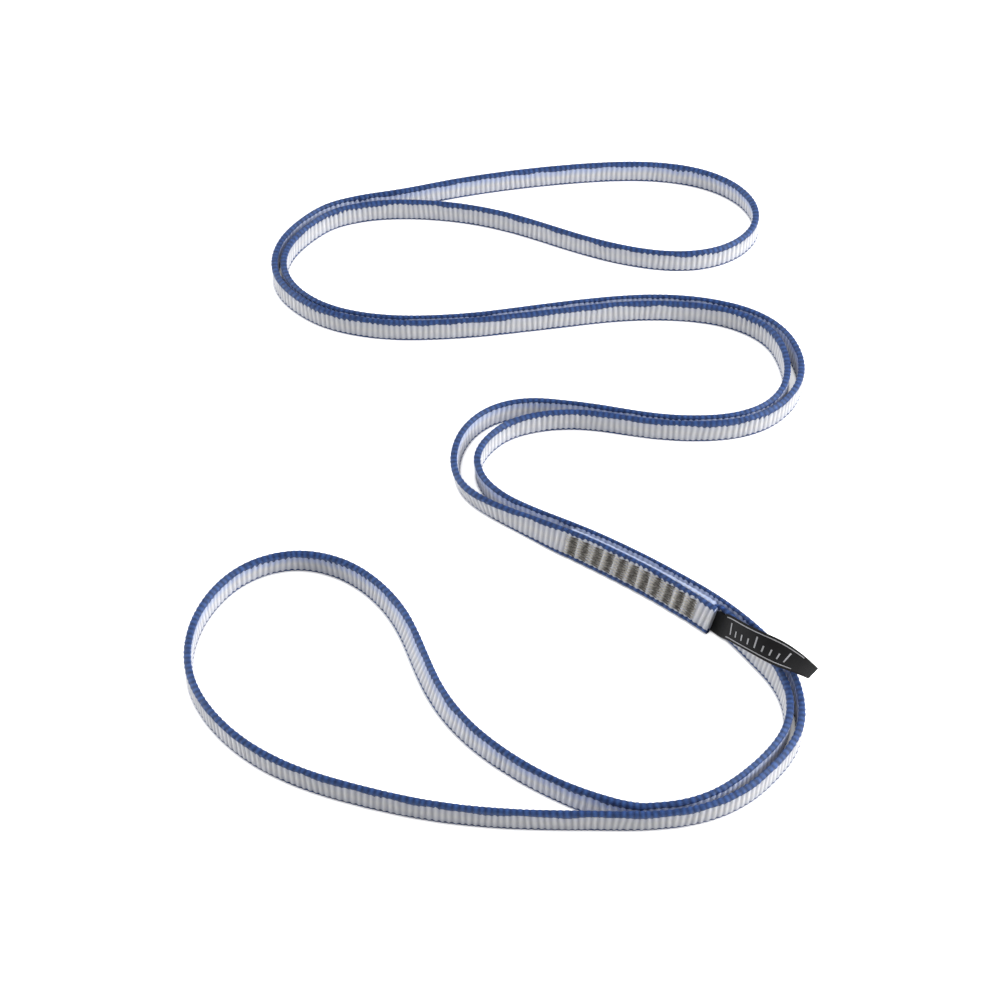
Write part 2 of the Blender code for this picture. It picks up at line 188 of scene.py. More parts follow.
# The label's free length: x, y, lean, and the height of its middle as a share of the webbing's width.
LABEL_ROUTE = (
    (88.5, -77.2, 21, 0.63),
    (91.1, -81.7, 22, 0.90),
    (98.2, -90.6, 32, 1.25),
    (105.8, -96.8, 59, 1.34),
    (110.7, -101.6, 83, 1.44),
    (117.4, -109.5, 110, 1.67),
)


class Strand(Enum):
    """Which strand of the doubled stretch, as the sign of its side of the middle, seen along the travel."""

    LEFT = 1
    RIGHT = -1


# Where the doubled stretch's rows hold the clear gap and each strand's lean.
GAP_COLUMN = 2
LEAN_COLUMNS = {Strand.LEFT: 3, Strand.RIGHT: 4}


class Edge(Enum):
    """Which long edge of the webbing, as the sign of its height from the middle line."""

    UPPER = 1
    LOWER = -1


def natural_cubic(points: np.ndarray, spacing: float) -> np.ndarray:
    """Reads rows at even steps from a smooth curve.

    Args:
        points: Rows whose first two columns are x and y.
        spacing: Step along the curve between the rows that are read.

    Returns:
        The rows, with as many columns as the points.
    """
    steps = np.hypot(*np.diff(points[:, :2], axis=0).T)
    knots = np.concatenate([[0.0], np.cumsum(steps)])
    count = len(points)
    system = np.eye(count)
    slopes = np.zeros_like(points)
    for i in range(1, count - 1):
        system[i, i - 1 : i + 2] = steps[i - 1], 2 * (steps[i - 1] + steps[i]), steps[i]
        slopes[i] = 6 * ((points[i + 1] - points[i]) / steps[i] - (points[i] - points[i - 1]) / steps[i - 1])
    bends = np.linalg.solve(system, slopes)
    reading = np.linspace(0.0, knots[-1], max(2, round(knots[-1] / spacing) + 1))
    i = np.clip(np.searchsorted(knots, reading, side="right") - 1, 0, count - 2)
    before = (reading - knots[i])[:, None]
    after = (knots[i + 1] - reading)[:, None]
    step = steps[i][:, None]
    curve = (bends[i] * after**3 + bends[i + 1] * before**3) / (6 * step)
    curve += (points[i] / step - bends[i] * step / 6) * after
    curve += (points[i + 1] / step - bends[i + 1] * step / 6) * before
    return curve


def left_normals(route: np.ndarray) -> np.ndarray:
    """Finds which way is left, seen from above.

    Args:
        route: Rows whose first two columns are x and y.

    Returns:
        A unit vector for each row, square to the travel.
    """
    travel = np.gradient(route[:, :2], axis=0)
    travel /= np.hypot(*travel.T)[:, None]
    return np.stack([-travel[:, 1], travel[:, 0]], axis=1)


def lengths_along(route: np.ndarray) -> np.ndarray:
    """Distance along the route at each of its rows, seen from above."""
    return np.concatenate([[0.0], np.cumsum(np.hypot(*np.diff(route[:, :2], axis=0).T))])


def ease(share: np.ndarray) -> np.ndarray:
    """A smooth step from 0 to 1."""
    share = np.clip(share, 0.0, 1.0)
    return share * share * (3 - 2 * share)


def unit(vectors: np.ndarray) -> np.ndarray:
    """The rows at unit length."""
    return vectors / np.linalg.norm(vectors, axis=-1, keepdims=True)


@dataclass
class Place:
    """A place on the webbing: its middle, the unit axes along and up, and the depth to the outer faces."""

    middle: np.ndarray
    along: np.ndarray
    up: np.ndarray
    depth: float

    @property
    def out(self) -> np.ndarray:
        """The unit axis out of the face, to the left of travel."""
        return np.cross(self.up, self.along)

    def point(self, along: float, up: float, out: float) -> np.ndarray:
        """The point so far along the webbing, up its width and out of its face."""
        return self.middle + self.along * along + self.up * up + self.out * out


@dataclass
class Route:
    """The webbing's middle line, with the seam's two layers apart, as the frame's source lays it."""

    width: float = 10.0 * MM
    thickness: float = 2.1 * MM
    floor_cut: float = 0.5 * MM
    layer_gap: float = 0.5 * MM
    seam_end: float = 635.7 * MM
    seam_length: float = 71.2 * MM
    layer_easing: float = 26.0 * MM
    mouth_length: float = 34.0 * MM
    mouth_easing: float = 24.0 * MM
    mouth_inward_share: float = 0.25
    mouth_room: float = 1.3 * MM
    centre: tuple[float, float] = (6.75, 20.97)
    fine_step: float = 0.5 * MM
    lead_step: float = 16.0 * MM
    lead_points: int = 4
    middle: np.ndarray = field(init=False)
    along: np.ndarray = field(init=False)
    across: np.ndarray = field(init=False)
    front: np.ndarray = field(init=False)
    back: np.ndarray = field(init=False)
    whole: np.ndarray = field(init=False)
    paired: np.ndarray = field(init=False)

    def __post_init__(self) -> None:
        """Lays the whole route, from the seam's open end round both loops to its hidden end."""
        self.middle = natural_cubic(self.routed(DOUBLED_ROUTE, 3), self.fine_step)
        self.along = lengths_along(self.middle)
        self.across = left_normals(self.middle)
        left = self.strand(Strand.LEFT, 0.0)
        self.front = self.strand(Strand.RIGHT, self.front_shift())
        self.back = self.strand(Strand.RIGHT, self.back_shift())
        outer = self.turned(self.front[self.along <= self.seam_end])
        inner = self.turned(self.back[self.along >= self.seam_end - self.seam_length])
        far = self.joined(outer, self.routed(FAR_LOOP_ROUTE, 2), left)
        near = self.joined(left, self.routed(NEAR_LOOP_ROUTE, 2), inner)
        parts = (outer, far, left, near, inner)
        self.whole = np.vstack(parts)
        self.paired = np.concatenate([np.full(len(part), float(i % 2 == 0)) for i, part in enumerate(parts)])

    def routed(self, points: Sequence[Sequence[float]], lengths: int) -> np.ndarray:
        """Brings listed points over the origin, in metres.

        Args:
            points: Rows whose first columns are lengths in millimetres.
            lengths: How many of the columns are lengths.

        Returns:
            The rows as an array.
        """
        table = np.array(points, float)
        table[:, :2] -= self.centre
        table[:, :lengths] *= MM
        return table

    @staticmethod
    def turned(strand: np.ndarray) -> np.ndarray:
        """The same strand run the other way, where its lean is to the other side."""
        return strand[::-1] * [1, 1, -1]

    def strand(self, which: Strand, shift: float | np.ndarray) -> np.ndarray:
        """Lays one strand of the doubled stretch.

        Args:
            which: The left or the right strand.
            shift: How far it is moved to the left.

        Returns:
            Rows of x, y and lean.
        """
        lean = self.middle[:, LEAN_COLUMNS[which]]
        half = (self.middle[:, GAP_COLUMN] + self.thickness) / 2
        moved = self.across * ((which.value * half + shift) / np.cos(np.radians(lean)))[:, None]
        return np.column_stack([self.middle[:, :2] + moved, lean])

    def mouth(self) -> np.ndarray:
        """How much wider the seam's layers stand apart where the label's root lies between them."""
        opened = ease((self.along - self.seam_end + self.mouth_length) / self.mouth_easing)
        return (self.mouth_room - self.layer_gap) * opened

    @property
    def layer_shift(self) -> float:
        """How far each of the seam's layers is moved from the strand's middle."""
        return (self.thickness + self.layer_gap) / 2

    def front_shift(self) -> np.ndarray:
        """The outer layer moves out over the inner one's hidden end, and a little more at the mouth."""
        begun = ease((self.along - self.seam_end + self.seam_length + self.layer_easing) / self.layer_easing)
        return -begun * self.layer_shift - self.mouth() * (1 - self.mouth_inward_share)

    def back_shift(self) -> np.ndarray:
        """The inner layer moves in beside the outer one, and comes back to the middle past the seam."""
        left_over = ease((self.seam_end + self.layer_easing - self.along) / self.layer_easing)
        return left_over * (self.layer_shift + self.mouth() * self.mouth_inward_share)

    def joined(self, before: np.ndarray, points: np.ndarray, after: np.ndarray) -> np.ndarray:
        """Lays a loop from the end of one strand through its own points to the start of another.

        Args:
            before: The strand that the loop leaves.
            points: The loop's own rows.
            after: The strand that it runs into.

        Returns:
            The rows between the two strands.
        """
        rows = max(1, round(self.lead_step / self.fine_step))
        lead_in = before[-1 : -rows * self.lead_points : -rows][::-1]
        lead_out = after[0 : rows * self.lead_points : rows]
        table = np.vstack([lead_in, points, lead_out])
        curve = natural_cubic(table, self.fine_step)
        knots = lengths_along(table)
        reading = np.linspace(0.0, knots[-1], len(curve))
        inside = (reading > knots[len(lead_in) - 1]) & (reading < knots[-len(lead_out)])
        return curve[inside][1:-1]

    def height_of_middle(self, lean: np.ndarray | float) -> np.ndarray:
        """Height of the middle line when the lower edge is let into the floor by the floor cut."""
        edge = self.width / 2 * np.cos(lean) + self.thickness / 2 * np.abs(np.sin(lean))
        return edge - self.floor_cut

    def seam_place(self, from_end: float) -> Place:
        """Finds the middle between the seam's layers.

        Args:
            from_end: Distance back from the seam's open end.

        Returns:
            The place, whose depth is from the middle to each layer's outer face.
        """
        at = self.seam_end - from_end
        outer, inner = (
            np.array([np.interp(at, self.along, layer[:, i]) for i in range(3)])
            for layer in (self.front, self.back)
        )
        lean = math.radians((outer[2] + inner[2]) / 2)
        left = unit(np.array([*(np.interp(at, self.along, self.across[:, i]) for i in range(2)), 0.0]))
        up = left * math.sin(lean) + np.array([0.0, 0.0, math.cos(lean)])
        along = unit(np.cross(left, [0.0, 0.0, 1.0]))
        middle = np.array([*(outer[:2] + inner[:2]) / 2, self.height_of_middle(lean)])
        apart = math.dist(outer[:2], inner[:2]) * math.cos(lean)
        return Place(middle, along, up, (apart + self.thickness) / 2)


class Sweeps:
    """A mesh of closed tubes, each made from an operator's grid that is bent through its rings."""

    def __init__(self, masks: Sequence[str] = (), rows: int = 1) -> None:
        """Starts an empty mesh.

        Args:
            masks: The names of the values that the material reads from the mesh.
            rows: How many rows the bake map folds each tube into; with 1, there is none.
        """
        self.mesh = bmesh.new()
        self.rows = rows
        self.weave = self.mesh.loops.layers.uv.new(WEAVE_MAP)
        self.bake = self.mesh.loops.layers.uv.new(BAKE_MAP) if rows > 1 else None
        self.masks = [self.mesh.verts.layers.float.new(mask) for mask in masks]

    def add(
        self, rings: np.ndarray, stations: np.ndarray | None = None, masked: Sequence[np.ndarray] = ()
    ) -> None:
        """Adds one tube through its rings, closed at both ends.

        Args:
            rings: Points, as an array of rings by corners by 3.
            stations: Each ring's distance along the tube, worked out from the rings where it isn't given.
            masked: Each mask's values, by ring, or by ring and corner.
        """
        count, corners = rings.shape[:2]
        made = bmesh.ops.create_grid(
            self.mesh, x_segments=count - 1, y_segments=corners, size=1.0, calc_uvs=True
        )
        places = np.concatenate([rings, rings[:, :1]], axis=1).transpose(1, 0, 2).reshape(-1, 3)
        for vert, place in zip(made["verts"], places):
            vert.co = place
        if stations is None:
            middles = rings.mean(axis=1)
            stations = np.concatenate([[0.0], np.cumsum(np.linalg.norm(np.diff(middles, axis=0), axis=1))])
        self.spread_maps(made["verts"], rings, stations)
        for layer, values in zip(self.masks, masked):
            by_corner = np.broadcast_to(values.reshape(count, -1), (count, corners))
            by_corner = np.concatenate([by_corner, by_corner[:, :1]], axis=1).T.ravel()
            for vert, value in zip(made["verts"], by_corner):
                vert[layer] = value
        edges = {edge for vert in made["verts"] for edge in vert.link_edges}
        bmesh.ops.remove_doubles(self.mesh, verts=made["verts"], dist=SEAM_WELD)
        ends = [edge for edge in edges if edge.is_valid and edge.is_boundary]
        bmesh.ops.holes_fill(self.mesh, edges=ends, sides=0)

    def spread_maps(
        self, verts: Iterable[bmesh.types.BMVert], rings: np.ndarray, stations: np.ndarray
    ) -> None:
        """Turns the grid's map into distances along and round the tube, and folds the bake map into rows.

        Args:
            verts: The grid's vertices.
            rings: The tube's rings.
            stations: Each ring's distance along the tube.
        """
        around = np.linalg.norm(np.diff(np.concatenate([rings, rings[:, :1]], axis=1), axis=1), axis=2)
        girth = np.concatenate([[0.0], np.cumsum(around.mean(axis=0))])
        last, corners = len(rings) - 1, rings.shape[1]
        per_row = math.ceil(last / self.rows)
        faces = {face for vert in verts for face in vert.link_faces}
        for face in faces:
            columns = [round(loop[self.weave].uv.x * last) for loop in face.loops]
            row = min(columns) // per_row
            for loop, column in zip(face.loops, columns):
                corner = round(loop[self.weave].uv.y * corners)
                if self.bake is not None:
                    up = (corner / corners * ROW_FILL + row) / self.rows
                    loop[self.bake].uv = ((column - row * per_row) / per_row, up)
                loop[self.weave].uv = (stations[column], girth[corner])

    def finish(self, name: str, material: bpy.types.Material) -> bpy.types.Object:
        """Makes the object.

        Args:
            name: The piece's name.
            material: Its finish.

        Returns:
            The object, at the origin, smooth shaded.
        """
        bmesh.ops.recalc_face_normals(self.mesh, faces=self.mesh.faces)
        for face in self.mesh.faces:
            face.smooth = True
        data = bpy.data.meshes.new(name)
        self.mesh.to_mesh(data)
        self.mesh.free()
        data.materials.append(material)
        made = bpy.data.objects.new(name, data)
        bpy.context.scene.collection.objects.link(made)
        LOG.info("%s: %d faces", name, len(data.polygons))
        return made


class Nodes:
    """A node tree that is built by short calls, where a number may stand for a socket."""

    def __init__(self, tree: bpy.types.NodeTree) -> None:
        """Takes over an empty tree."""
        self.tree = tree

    def add(self, kind: str, **settings: object) -> bpy.types.Node:
        """Adds a node.

        Args:
            kind: Its type, without the leading ShaderNode.
            settings: Values of its own properties.

        Returns:
            The node.
        """
        node = self.tree.nodes.new(f"ShaderNode{kind}")
        for name, value in settings.items():
            setattr(node, name, value)
        return node

    def feed(self, socket: bpy.types.NodeSocket, value: object) -> None:
        """Links an output into a socket, or sets the socket's own value.

        Args:
            socket: The socket.
            value: The output, or the value.
        """
        if isinstance(value, bpy.types.NodeSocket):
            self.tree.links.new(value, socket)
        else:
            socket.default_value = value

    def math(self, operation: str, *values: object, clamp: bool = False) -> bpy.types.NodeSocket:
        """Works out a value with a Math node.

        Args:
            operation: The node's operation.
            values: What goes in, in order.
            clamp: Whether the result is kept from 0 to 1.

        Returns:
            The result.
        """
        node = self.add("Math", operation=operation, use_clamp=clamp)
        for socket, value in zip(node.inputs, values):
            self.feed(socket, value)
        return node.outputs[0]

    def mix(self, share: object, first: object, second: object) -> bpy.types.NodeSocket:
        """Finds a colour between two colours.

        Args:
            share: How far it is from the first one, from 0 to 1.
            first: The colour at 0.
            second: The colour at 1.

        Returns:
            The colour.
        """
        node = self.add("Mix", data_type="RGBA")
        for name, value in (("Factor_Float", share), ("A_Color", first), ("B_Color", second)):
            self.feed(next(s for s in node.inputs if s.identifier == name), value)
        return next(s for s in node.outputs if s.identifier == "Result_Color")

    def stretch(
        self, value: object, low: float, high: float, to_low: float = 0.0, to_high: float = 1.0
    ) -> bpy.types.NodeSocket:
        """Maps a value from one range on another, and clamps it there.

        Args:
            value: The value.
            low: Where its own range starts.
            high: Where that ends.
            to_low: Where the new range starts.
            to_high: Where that ends.

        Returns:
            The new value.
        """
        node = self.add("MapRange", clamp=True)
        for socket, number in zip(node.inputs, (value, low, high, to_low, to_high)):
            self.feed(socket, number)
        return node.outputs[0]

    def noise(self, vector: object, scale: float, detail: float = 2.0) -> bpy.types.NodeSocket:
        """Reads a noise.

        Args:
            vector: Where it is read.
            scale: How many of its features a metre holds.
            detail: How many finer layers it has.

        Returns:
            A value from 0 to 1.
        """
        node = self.add("TexNoise", noise_dimensions="3D")
        self.feed(node.inputs["Vector"], vector)
        node.inputs["Scale"].default_value = scale
        node.inputs["Detail"].default_value = detail
        return node.outputs["Fac"]

    def place(self, group: bpy.types.NodeTree, **values: object) -> bpy.types.Node:
        """Places a shared effect with its own values.

        Args:
            group: The effect.
            values: Its inputs, by their names in small letters.

        Returns:
            The placed node.
        """
        node = self.add("Group", node_tree=group)
        for name, value in values.items():
            self.feed(node.inputs[name.replace("_", " ").capitalize()], value)
        return node


class SharedEffect:
    """The shader groups of the yarns and of the sewing thread, each built once for all that place it."""

    # Each yarn starts its picks half a pick after its neighbour
    STAGGER = 0.5
    PICK_RISE = 0.45
    FIBRE_STRETCH = 0.16
    FIBRE_SCALE = 9000.0
    FIBRE_DETAIL = 3.0
    FIBRE_RISE = 0.35

    _made: dict[str, bpy.types.NodeTree] = {}

    @classmethod
    def start(cls, name: str, inputs: dict[str, float], outputs: Sequence[str]) -> bpy.types.NodeTree:
        """Starts an empty group.

        Args:
            name: Its name.
            inputs: Its values, by name.
            outputs: The names of the values that it puts out.

        Returns:
            The group.
        """
        group = bpy.data.node_groups.new(name, "ShaderNodeTree")
        for label, value in inputs.items():
            socket = group.interface.new_socket(label, in_out="INPUT", socket_type="NodeSocketFloat")
            socket.default_value = value
        for label in outputs:
            group.interface.new_socket(label, in_out="OUTPUT", socket_type="NodeSocketFloat")
        cls._made[name] = group
        return group

    @classmethod
    def yarns(cls) -> bpy.types.NodeTree:
        """Lays rows of yarn side by side, which pass over and under the picks, with loose fibres.

        Returns:
            The group, with the yarns' height and the fibres.
        """
        if "woven_yarns" in cls._made:
            return cls._made["woven_yarns"]
        given = {"Along": 0.0, "Across": 0.0, "Yarn pitch": 0.4 * MM, "Pick pitch": 0.8 * MM}
        group = cls.start("woven_yarns", given, ("Height", "Fibre"))
        nodes = Nodes(group)
        entry = group.nodes.new("NodeGroupInput")
        leave = group.nodes.new("NodeGroupOutput")
        along, across, yarn_pitch, pick_pitch = entry.outputs[:4]
        yarn = nodes.math("DIVIDE", across, yarn_pitch)
        round_yarn = nodes.math("ABSOLUTE", nodes.math("SINE", nodes.math("MULTIPLY", yarn, math.pi)))
        odd = nodes.math("MULTIPLY", nodes.math("FLOOR", yarn), cls.STAGGER)
        pick = nodes.math("ADD", nodes.math("DIVIDE", along, pick_pitch), odd)
        over = nodes.math("ABSOLUTE", nodes.math("SINE", nodes.math("MULTIPLY", pick, math.pi)))
        risen = nodes.math("MULTIPLY_ADD", over, cls.PICK_RISE, 1 - cls.PICK_RISE)
        woven = nodes.math("MULTIPLY", round_yarn, risen)
        spun = nodes.add("CombineXYZ")
        nodes.feed(spun.inputs[0], nodes.math("MULTIPLY", along, cls.FIBRE_STRETCH))
        nodes.feed(spun.inputs[1], across)
        fibre = nodes.noise(spun.outputs[0], cls.FIBRE_SCALE, cls.FIBRE_DETAIL)
        height = nodes.math("MULTIPLY_ADD", fibre, cls.FIBRE_RISE, woven)
        nodes.feed(leave.inputs["Height"], height)
        nodes.feed(leave.inputs["Fibre"], fibre)
        return group

    @classmethod
    def twist(cls) -> bpy.types.NodeTree:
        """Winds plies round a sewing thread.

        Returns:
            The group, with the plies' height.
        """
        if "thread_twist" in cls._made:
            return cls._made["thread_twist"]
        given = {"Along": 0.0, "Around": 0.0, "Ply length": 0.9 * MM, "Girth": 1.0 * MM}
        group = cls.start("thread_twist", given, ("Height",))
        nodes = Nodes(group)
        entry = group.nodes.new("NodeGroupInput")
        leave = group.nodes.new("NodeGroupOutput")
        along, around, ply_length, girth = entry.outputs[:4]
        wound = nodes.math("DIVIDE", around, girth)
        turns = nodes.math("ADD", nodes.math("DIVIDE", along, ply_length), wound)
        wave = nodes.math("ABSOLUTE", nodes.math("SINE", nodes.math("MULTIPLY", turns, math.pi * 2)))
        nodes.feed(leave.inputs["Height"], wave)
        return group


@dataclass(frozen=True)
class Finish:
    """What every finish shares: its name, and a Principled shader with its fixed values."""

    name: str
    roughness: float = 0.7
    sheen: float = 0.0
    specular: float = 0.35
    soft_depth: float = 0.0
    soft_share: float = 0.0

    def begin(self) -> tuple[bpy.types.Material, Nodes, bpy.types.Node]:
        """Starts the material.

        Returns:
            The material, its nodes and its shader.
        """
        made = bpy.data.materials.new(self.name)
        made.use_nodes = True
        shader = made.node_tree.nodes["Principled BSDF"]
        shader.inputs["Roughness"].default_value = self.roughness
        shader.inputs["Sheen Weight"].default_value = self.sheen
        shader.inputs["Specular IOR Level"].default_value = self.specular
        shader.inputs["Subsurface Weight"].default_value = self.soft_share
        shader.inputs["Subsurface Radius"].default_value = (1.0, 1.0, 1.0)
        shader.inputs["Subsurface Scale"].default_value = self.soft_depth
        return made, Nodes(made.node_tree), shader

    @staticmethod
    def weave_place(nodes: Nodes) -> tuple[bpy.types.NodeSocket, bpy.types.NodeSocket]:
        """Reads the piece's weave map.

        Args:
            nodes: The material's nodes.

        Returns:
            The distances along and across the piece.
        """
        split = nodes.add("SeparateXYZ")
        nodes.feed(split.inputs[0], nodes.add("UVMap", uv_map=WEAVE_MAP).outputs[0])
        return split.outputs[0], split.outputs[1]

    @staticmethod
    def bump(nodes: Nodes, shader: bpy.types.Node, height: object, depth: float, strength: float) -> None:
        """Feeds a height into the shader's normal.

        Args:
            nodes: The material's nodes.
            shader: Its shader.
            height: The height, from 0 to about 1.
            depth: How deep that is in metres.
            strength: How strongly it shows.
        """
        node = nodes.add("Bump")
        nodes.feed(node.inputs["Height"], height)
        node.inputs["Distance"].default_value = depth
        node.inputs["Strength"].default_value = strength
        nodes.feed(shader.inputs["Normal"], node.outputs[0])


@dataclass(frozen=True)
class YarnFinish(Finish):
    """What the webbing and the label share: close rows of woven yarn with loose fibres."""

    yarn_pitch: float = 0.42 * MM
    pick_pitch: float = 2.4 * MM
    yarn_depth: float = 0.12 * MM
    yarn_strength: float = 0.6
    fibres: Span = (0.2, 0.8)
    rough_spread: float = 0.1

    def lay_yarns(self, nodes: Nodes, shader: bpy.types.Node) -> bpy.types.NodeSocket:
        """Puts the yarns into the shader's roughness and normal.

        Args:
            nodes: The material's nodes.
            shader: Its shader.

        Returns:
            The yarns' height.
        """
        along, across = self.weave_place(nodes)
        yarns = nodes.place(
            SharedEffect.yarns(),
            along=along,
            across=across,
            yarn_pitch=self.yarn_pitch,
            pick_pitch=self.pick_pitch,
        )
        smooth, rough = self.roughness - self.rough_spread, self.roughness + self.rough_spread
        roughness = nodes.stretch(yarns.outputs["Fibre"], *self.fibres, smooth, rough)
        nodes.feed(shader.inputs["Roughness"], roughness)
        height = yarns.outputs["Height"]
        self.bump(nodes, shader, height, self.yarn_depth, self.yarn_strength)
        return height


@dataclass(frozen=True)
class WovenFinish(YarnFinish):
    """Ribbed webbing, with painted shade in the grooves between the ribs and where its yarns dive, shining
    across their run.
    """

    # The crest's colour, and the painted shade of the grooves between the ribs
    crest: Colour = (0.92, 0.92, 0.93, 1.0)
    groove: Colour = (0.46, 0.46, 0.50, 1.0)
    # How the yarns' heights map onto their painted shade, and how much of that painted shade follows the
    # yarns rather than the ribs
    yarn_heights: Span = (0.1, 0.9)
    yarn_share: float = 0.3
    rim: Colour = (0.42, 0.54, 0.90, 1.0)
    rim_share: float = 0.8
    shine: Colour = WHITE
    shine_across: float = 0.0
    patchy: float = 0.0
    patch_size: float = 2.5 * MM
    patches: Span = (0.35, 0.60)

    def material(self) -> bpy.types.Material:
        """Builds the finish.

        Returns:
            The material.
        """
        made, nodes, shader = self.begin()
        yarn = nodes.stretch(self.lay_yarns(nodes, shader), *self.yarn_heights)
        rib = nodes.add("Attribute", attribute_name=RIB_MASK).outputs["Fac"]
        # Painted shade in the ribs' grooves and where the yarns dive, with real patches of uneven tone from
        # the noise
        ribbed = nodes.math("MULTIPLY", rib, 1 - self.yarn_share)
        lit = nodes.math("MULTIPLY_ADD", yarn, self.yarn_share, ribbed)
        noise = nodes.noise(nodes.add("TexCoord").outputs["Object"], 1 / self.patch_size)
        lit = nodes.math("MULTIPLY", lit, nodes.stretch(noise, *self.patches, 1 - self.patchy, 1.0))
        colour = nodes.mix(lit, self.groove, self.crest)
        rim = nodes.add("Attribute", attribute_name=RIM_MASK).outputs["Fac"]
        colour = nodes.mix(nodes.math("MULTIPLY", rim, self.rim_share), colour, self.rim)
        nodes.feed(shader.inputs["Base Color"], colour)
        self.turn_shine(nodes, shader)
        return made

    def turn_shine(self, nodes: Nodes, shader: bpy.types.Node) -> None:
        """Turns the highlight across the yarns, as filaments that run along the webbing do.

        Args:
            nodes: The material's nodes.
            shader: Its shader.
        """
        tangent = nodes.add("Tangent", direction_type="UV_MAP", uv_map=WEAVE_MAP)
        nodes.feed(shader.inputs["Tangent"], tangent.outputs[0])
        shader.inputs["Specular Tint"].default_value = self.shine
        shader.inputs["Anisotropic"].default_value = self.shine_across
        shader.inputs["Anisotropic Rotation"].default_value = QUARTER_TURN


@dataclass(frozen=True)
class ClothFinish(YarnFinish):
    """Close woven label cloth, a little worn, with painted shade where its yarns pass under."""

    # The colour where the yarns pass over, and the painted shade where they pass under
    over: Colour = (0.012, 0.012, 0.013, 1.0)
    under: Colour = (0.004, 0.004, 0.005, 1.0)
    yarn_heights: Span = (0.1, 1.1)
    yarn_pitch: float = 0.24 * MM
    pick_pitch: float = 0.36 * MM
    yarn_depth: float = 0.06 * MM
    yarn_strength: float = 0.5
    wear_scale: float = 220.0
    wear_detail: float = 3.0
    wear: Span = (0.3, 0.7)
    worn_shade: float = 0.7

    def material(self) -> bpy.types.Material:
        """Builds the finish.

        Returns:
            The material.
        """
        made, nodes, shader = self.begin()
        yarn = nodes.stretch(self.lay_yarns(nodes, shader), *self.yarn_heights)
        noise = nodes.noise(nodes.add("TexCoord").outputs["Object"], self.wear_scale, self.wear_detail)
        # Painted shade where the yarns pass under, and real wear from the noise
        share = nodes.math("MULTIPLY", yarn, nodes.stretch(noise, *self.wear, self.worn_shade, 1.0))
        nodes.feed(shader.inputs["Base Color"], nodes.mix(share, self.under, self.over))
        return made


@dataclass(frozen=True)
class StitchFinish(Finish):
    """Sewing thread, with painted shade where it is pulled down into the webbing and between its plies, and a
    little real soil.
    """

    # The thread's own light colour, and the colour of its painted shade
    light: Colour = (0.82, 0.78, 0.70, 1.0)
    dark: Colour = (0.050, 0.043, 0.037, 1.0)
    ply_length: float = 0.7 * MM
    girth: float = 0.9 * MM
    ply_depth: float = 0.05 * MM
    ply_strength: float = 0.7
    # How much painted shade lies between the plies
    ply_shade: float = 0.35
    ply_roughness: float = 0.15
    soil_scale: float = 700.0
    soil_detail: float = 3.0
    soil: Span = (0.3, 0.7)
    soil_spread: float = 0.15

    def material(self) -> bpy.types.Material:
        """Builds the finish.

        Returns:
            The material.
        """
        made, nodes, shader = self.begin()
        along, around = self.weave_place(nodes)
        placed = nodes.place(
            SharedEffect.twist(), along=along, around=around, ply_length=self.ply_length, girth=self.girth
        )
        twist = placed.outputs["Height"]
        pressed = nodes.add("Attribute", attribute_name=PAINTED_SHADE_MASK).outputs["Fac"]
        noise = nodes.noise(nodes.add("TexCoord").outputs["Object"], self.soil_scale, self.soil_detail)
        soil_and_shade = nodes.stretch(noise, *self.soil, -self.soil_spread, self.soil_spread)
        # Painted shade from the stitches' mask, with real soil from the noise
        colour = nodes.mix(nodes.math("ADD", pressed, soil_and_shade, clamp=True), self.light, self.dark)
        # Painted shade between the plies
        shade = nodes.math("MULTIPLY", nodes.math("SUBTRACT", 1.0, twist), self.ply_shade)
        nodes.feed(shader.inputs["Base Color"], nodes.mix(shade, colour, self.dark))
        rough = nodes.stretch(twist, 0.0, 1.0, self.roughness + self.ply_roughness, self.roughness)
        nodes.feed(shader.inputs["Roughness"], rough)
        self.bump(nodes, shader, twist, self.ply_depth, self.ply_strength)
        return made


@dataclass(frozen=True)
class FloorFinish(Finish):
    """A pale studio floor that shows as white to the camera and keeps the sling's shadow."""

    colour: Colour = (0.80, 0.80, 0.80, 1.0)
    lift: float = 0.84
    # How far the ambient occlusion looks for the painted shade in narrow gaps and for the painted contact
    # shadow
    narrow: float = 7.0 * MM
    narrow_open: Span = (0.10, 0.40)
    touching: float = 1.6 * MM
    touching_open: Span = (0.45, 0.80)
    touching_least: float = 0.25
    rays: int = 8

    def material(self) -> bpy.types.Material:
        """Builds the finish.

        Returns:
            The material.
        """
        made, nodes, shader = self.begin()
        shader.inputs["Base Color"].default_value = self.colour
        seen = nodes.add("LightPath").outputs
        shown = nodes.math("MAXIMUM", seen["Is Camera Ray"], seen["Is Glossy Ray"])
        shown = nodes.math("MAXIMUM", shown, seen["Is Transmission Ray"])
        shader.inputs["Emission Color"].default_value = WHITE
        # The glow is dimmed by ambient occlusion: painted shade in narrow gaps between the strands, and a
        # painted contact shadow where the sling touches the floor
        between = nodes.stretch(self.open_share(nodes, self.narrow), *self.narrow_open)
        touching = self.open_share(nodes, self.touching)
        beside = nodes.stretch(touching, *self.touching_open, self.touching_least, 1.0)
        lifted = nodes.math("MULTIPLY", nodes.math("MULTIPLY", between, beside), self.lift)
        nodes.feed(shader.inputs["Emission Strength"], nodes.math("MULTIPLY", shown, lifted))
        return made

    def open_share(self, nodes: Nodes, reach: float) -> bpy.types.NodeSocket:
        """Measures how much of what is above the floor is open.

        Args:
            nodes: The material's nodes.
            reach: How far it looks.

        Returns:
            The share, from 0 to 1.
        """
        node = nodes.add("AmbientOcclusion", samples=self.rays)
        node.inputs["Distance"].default_value = reach
        return node.outputs["AO"]


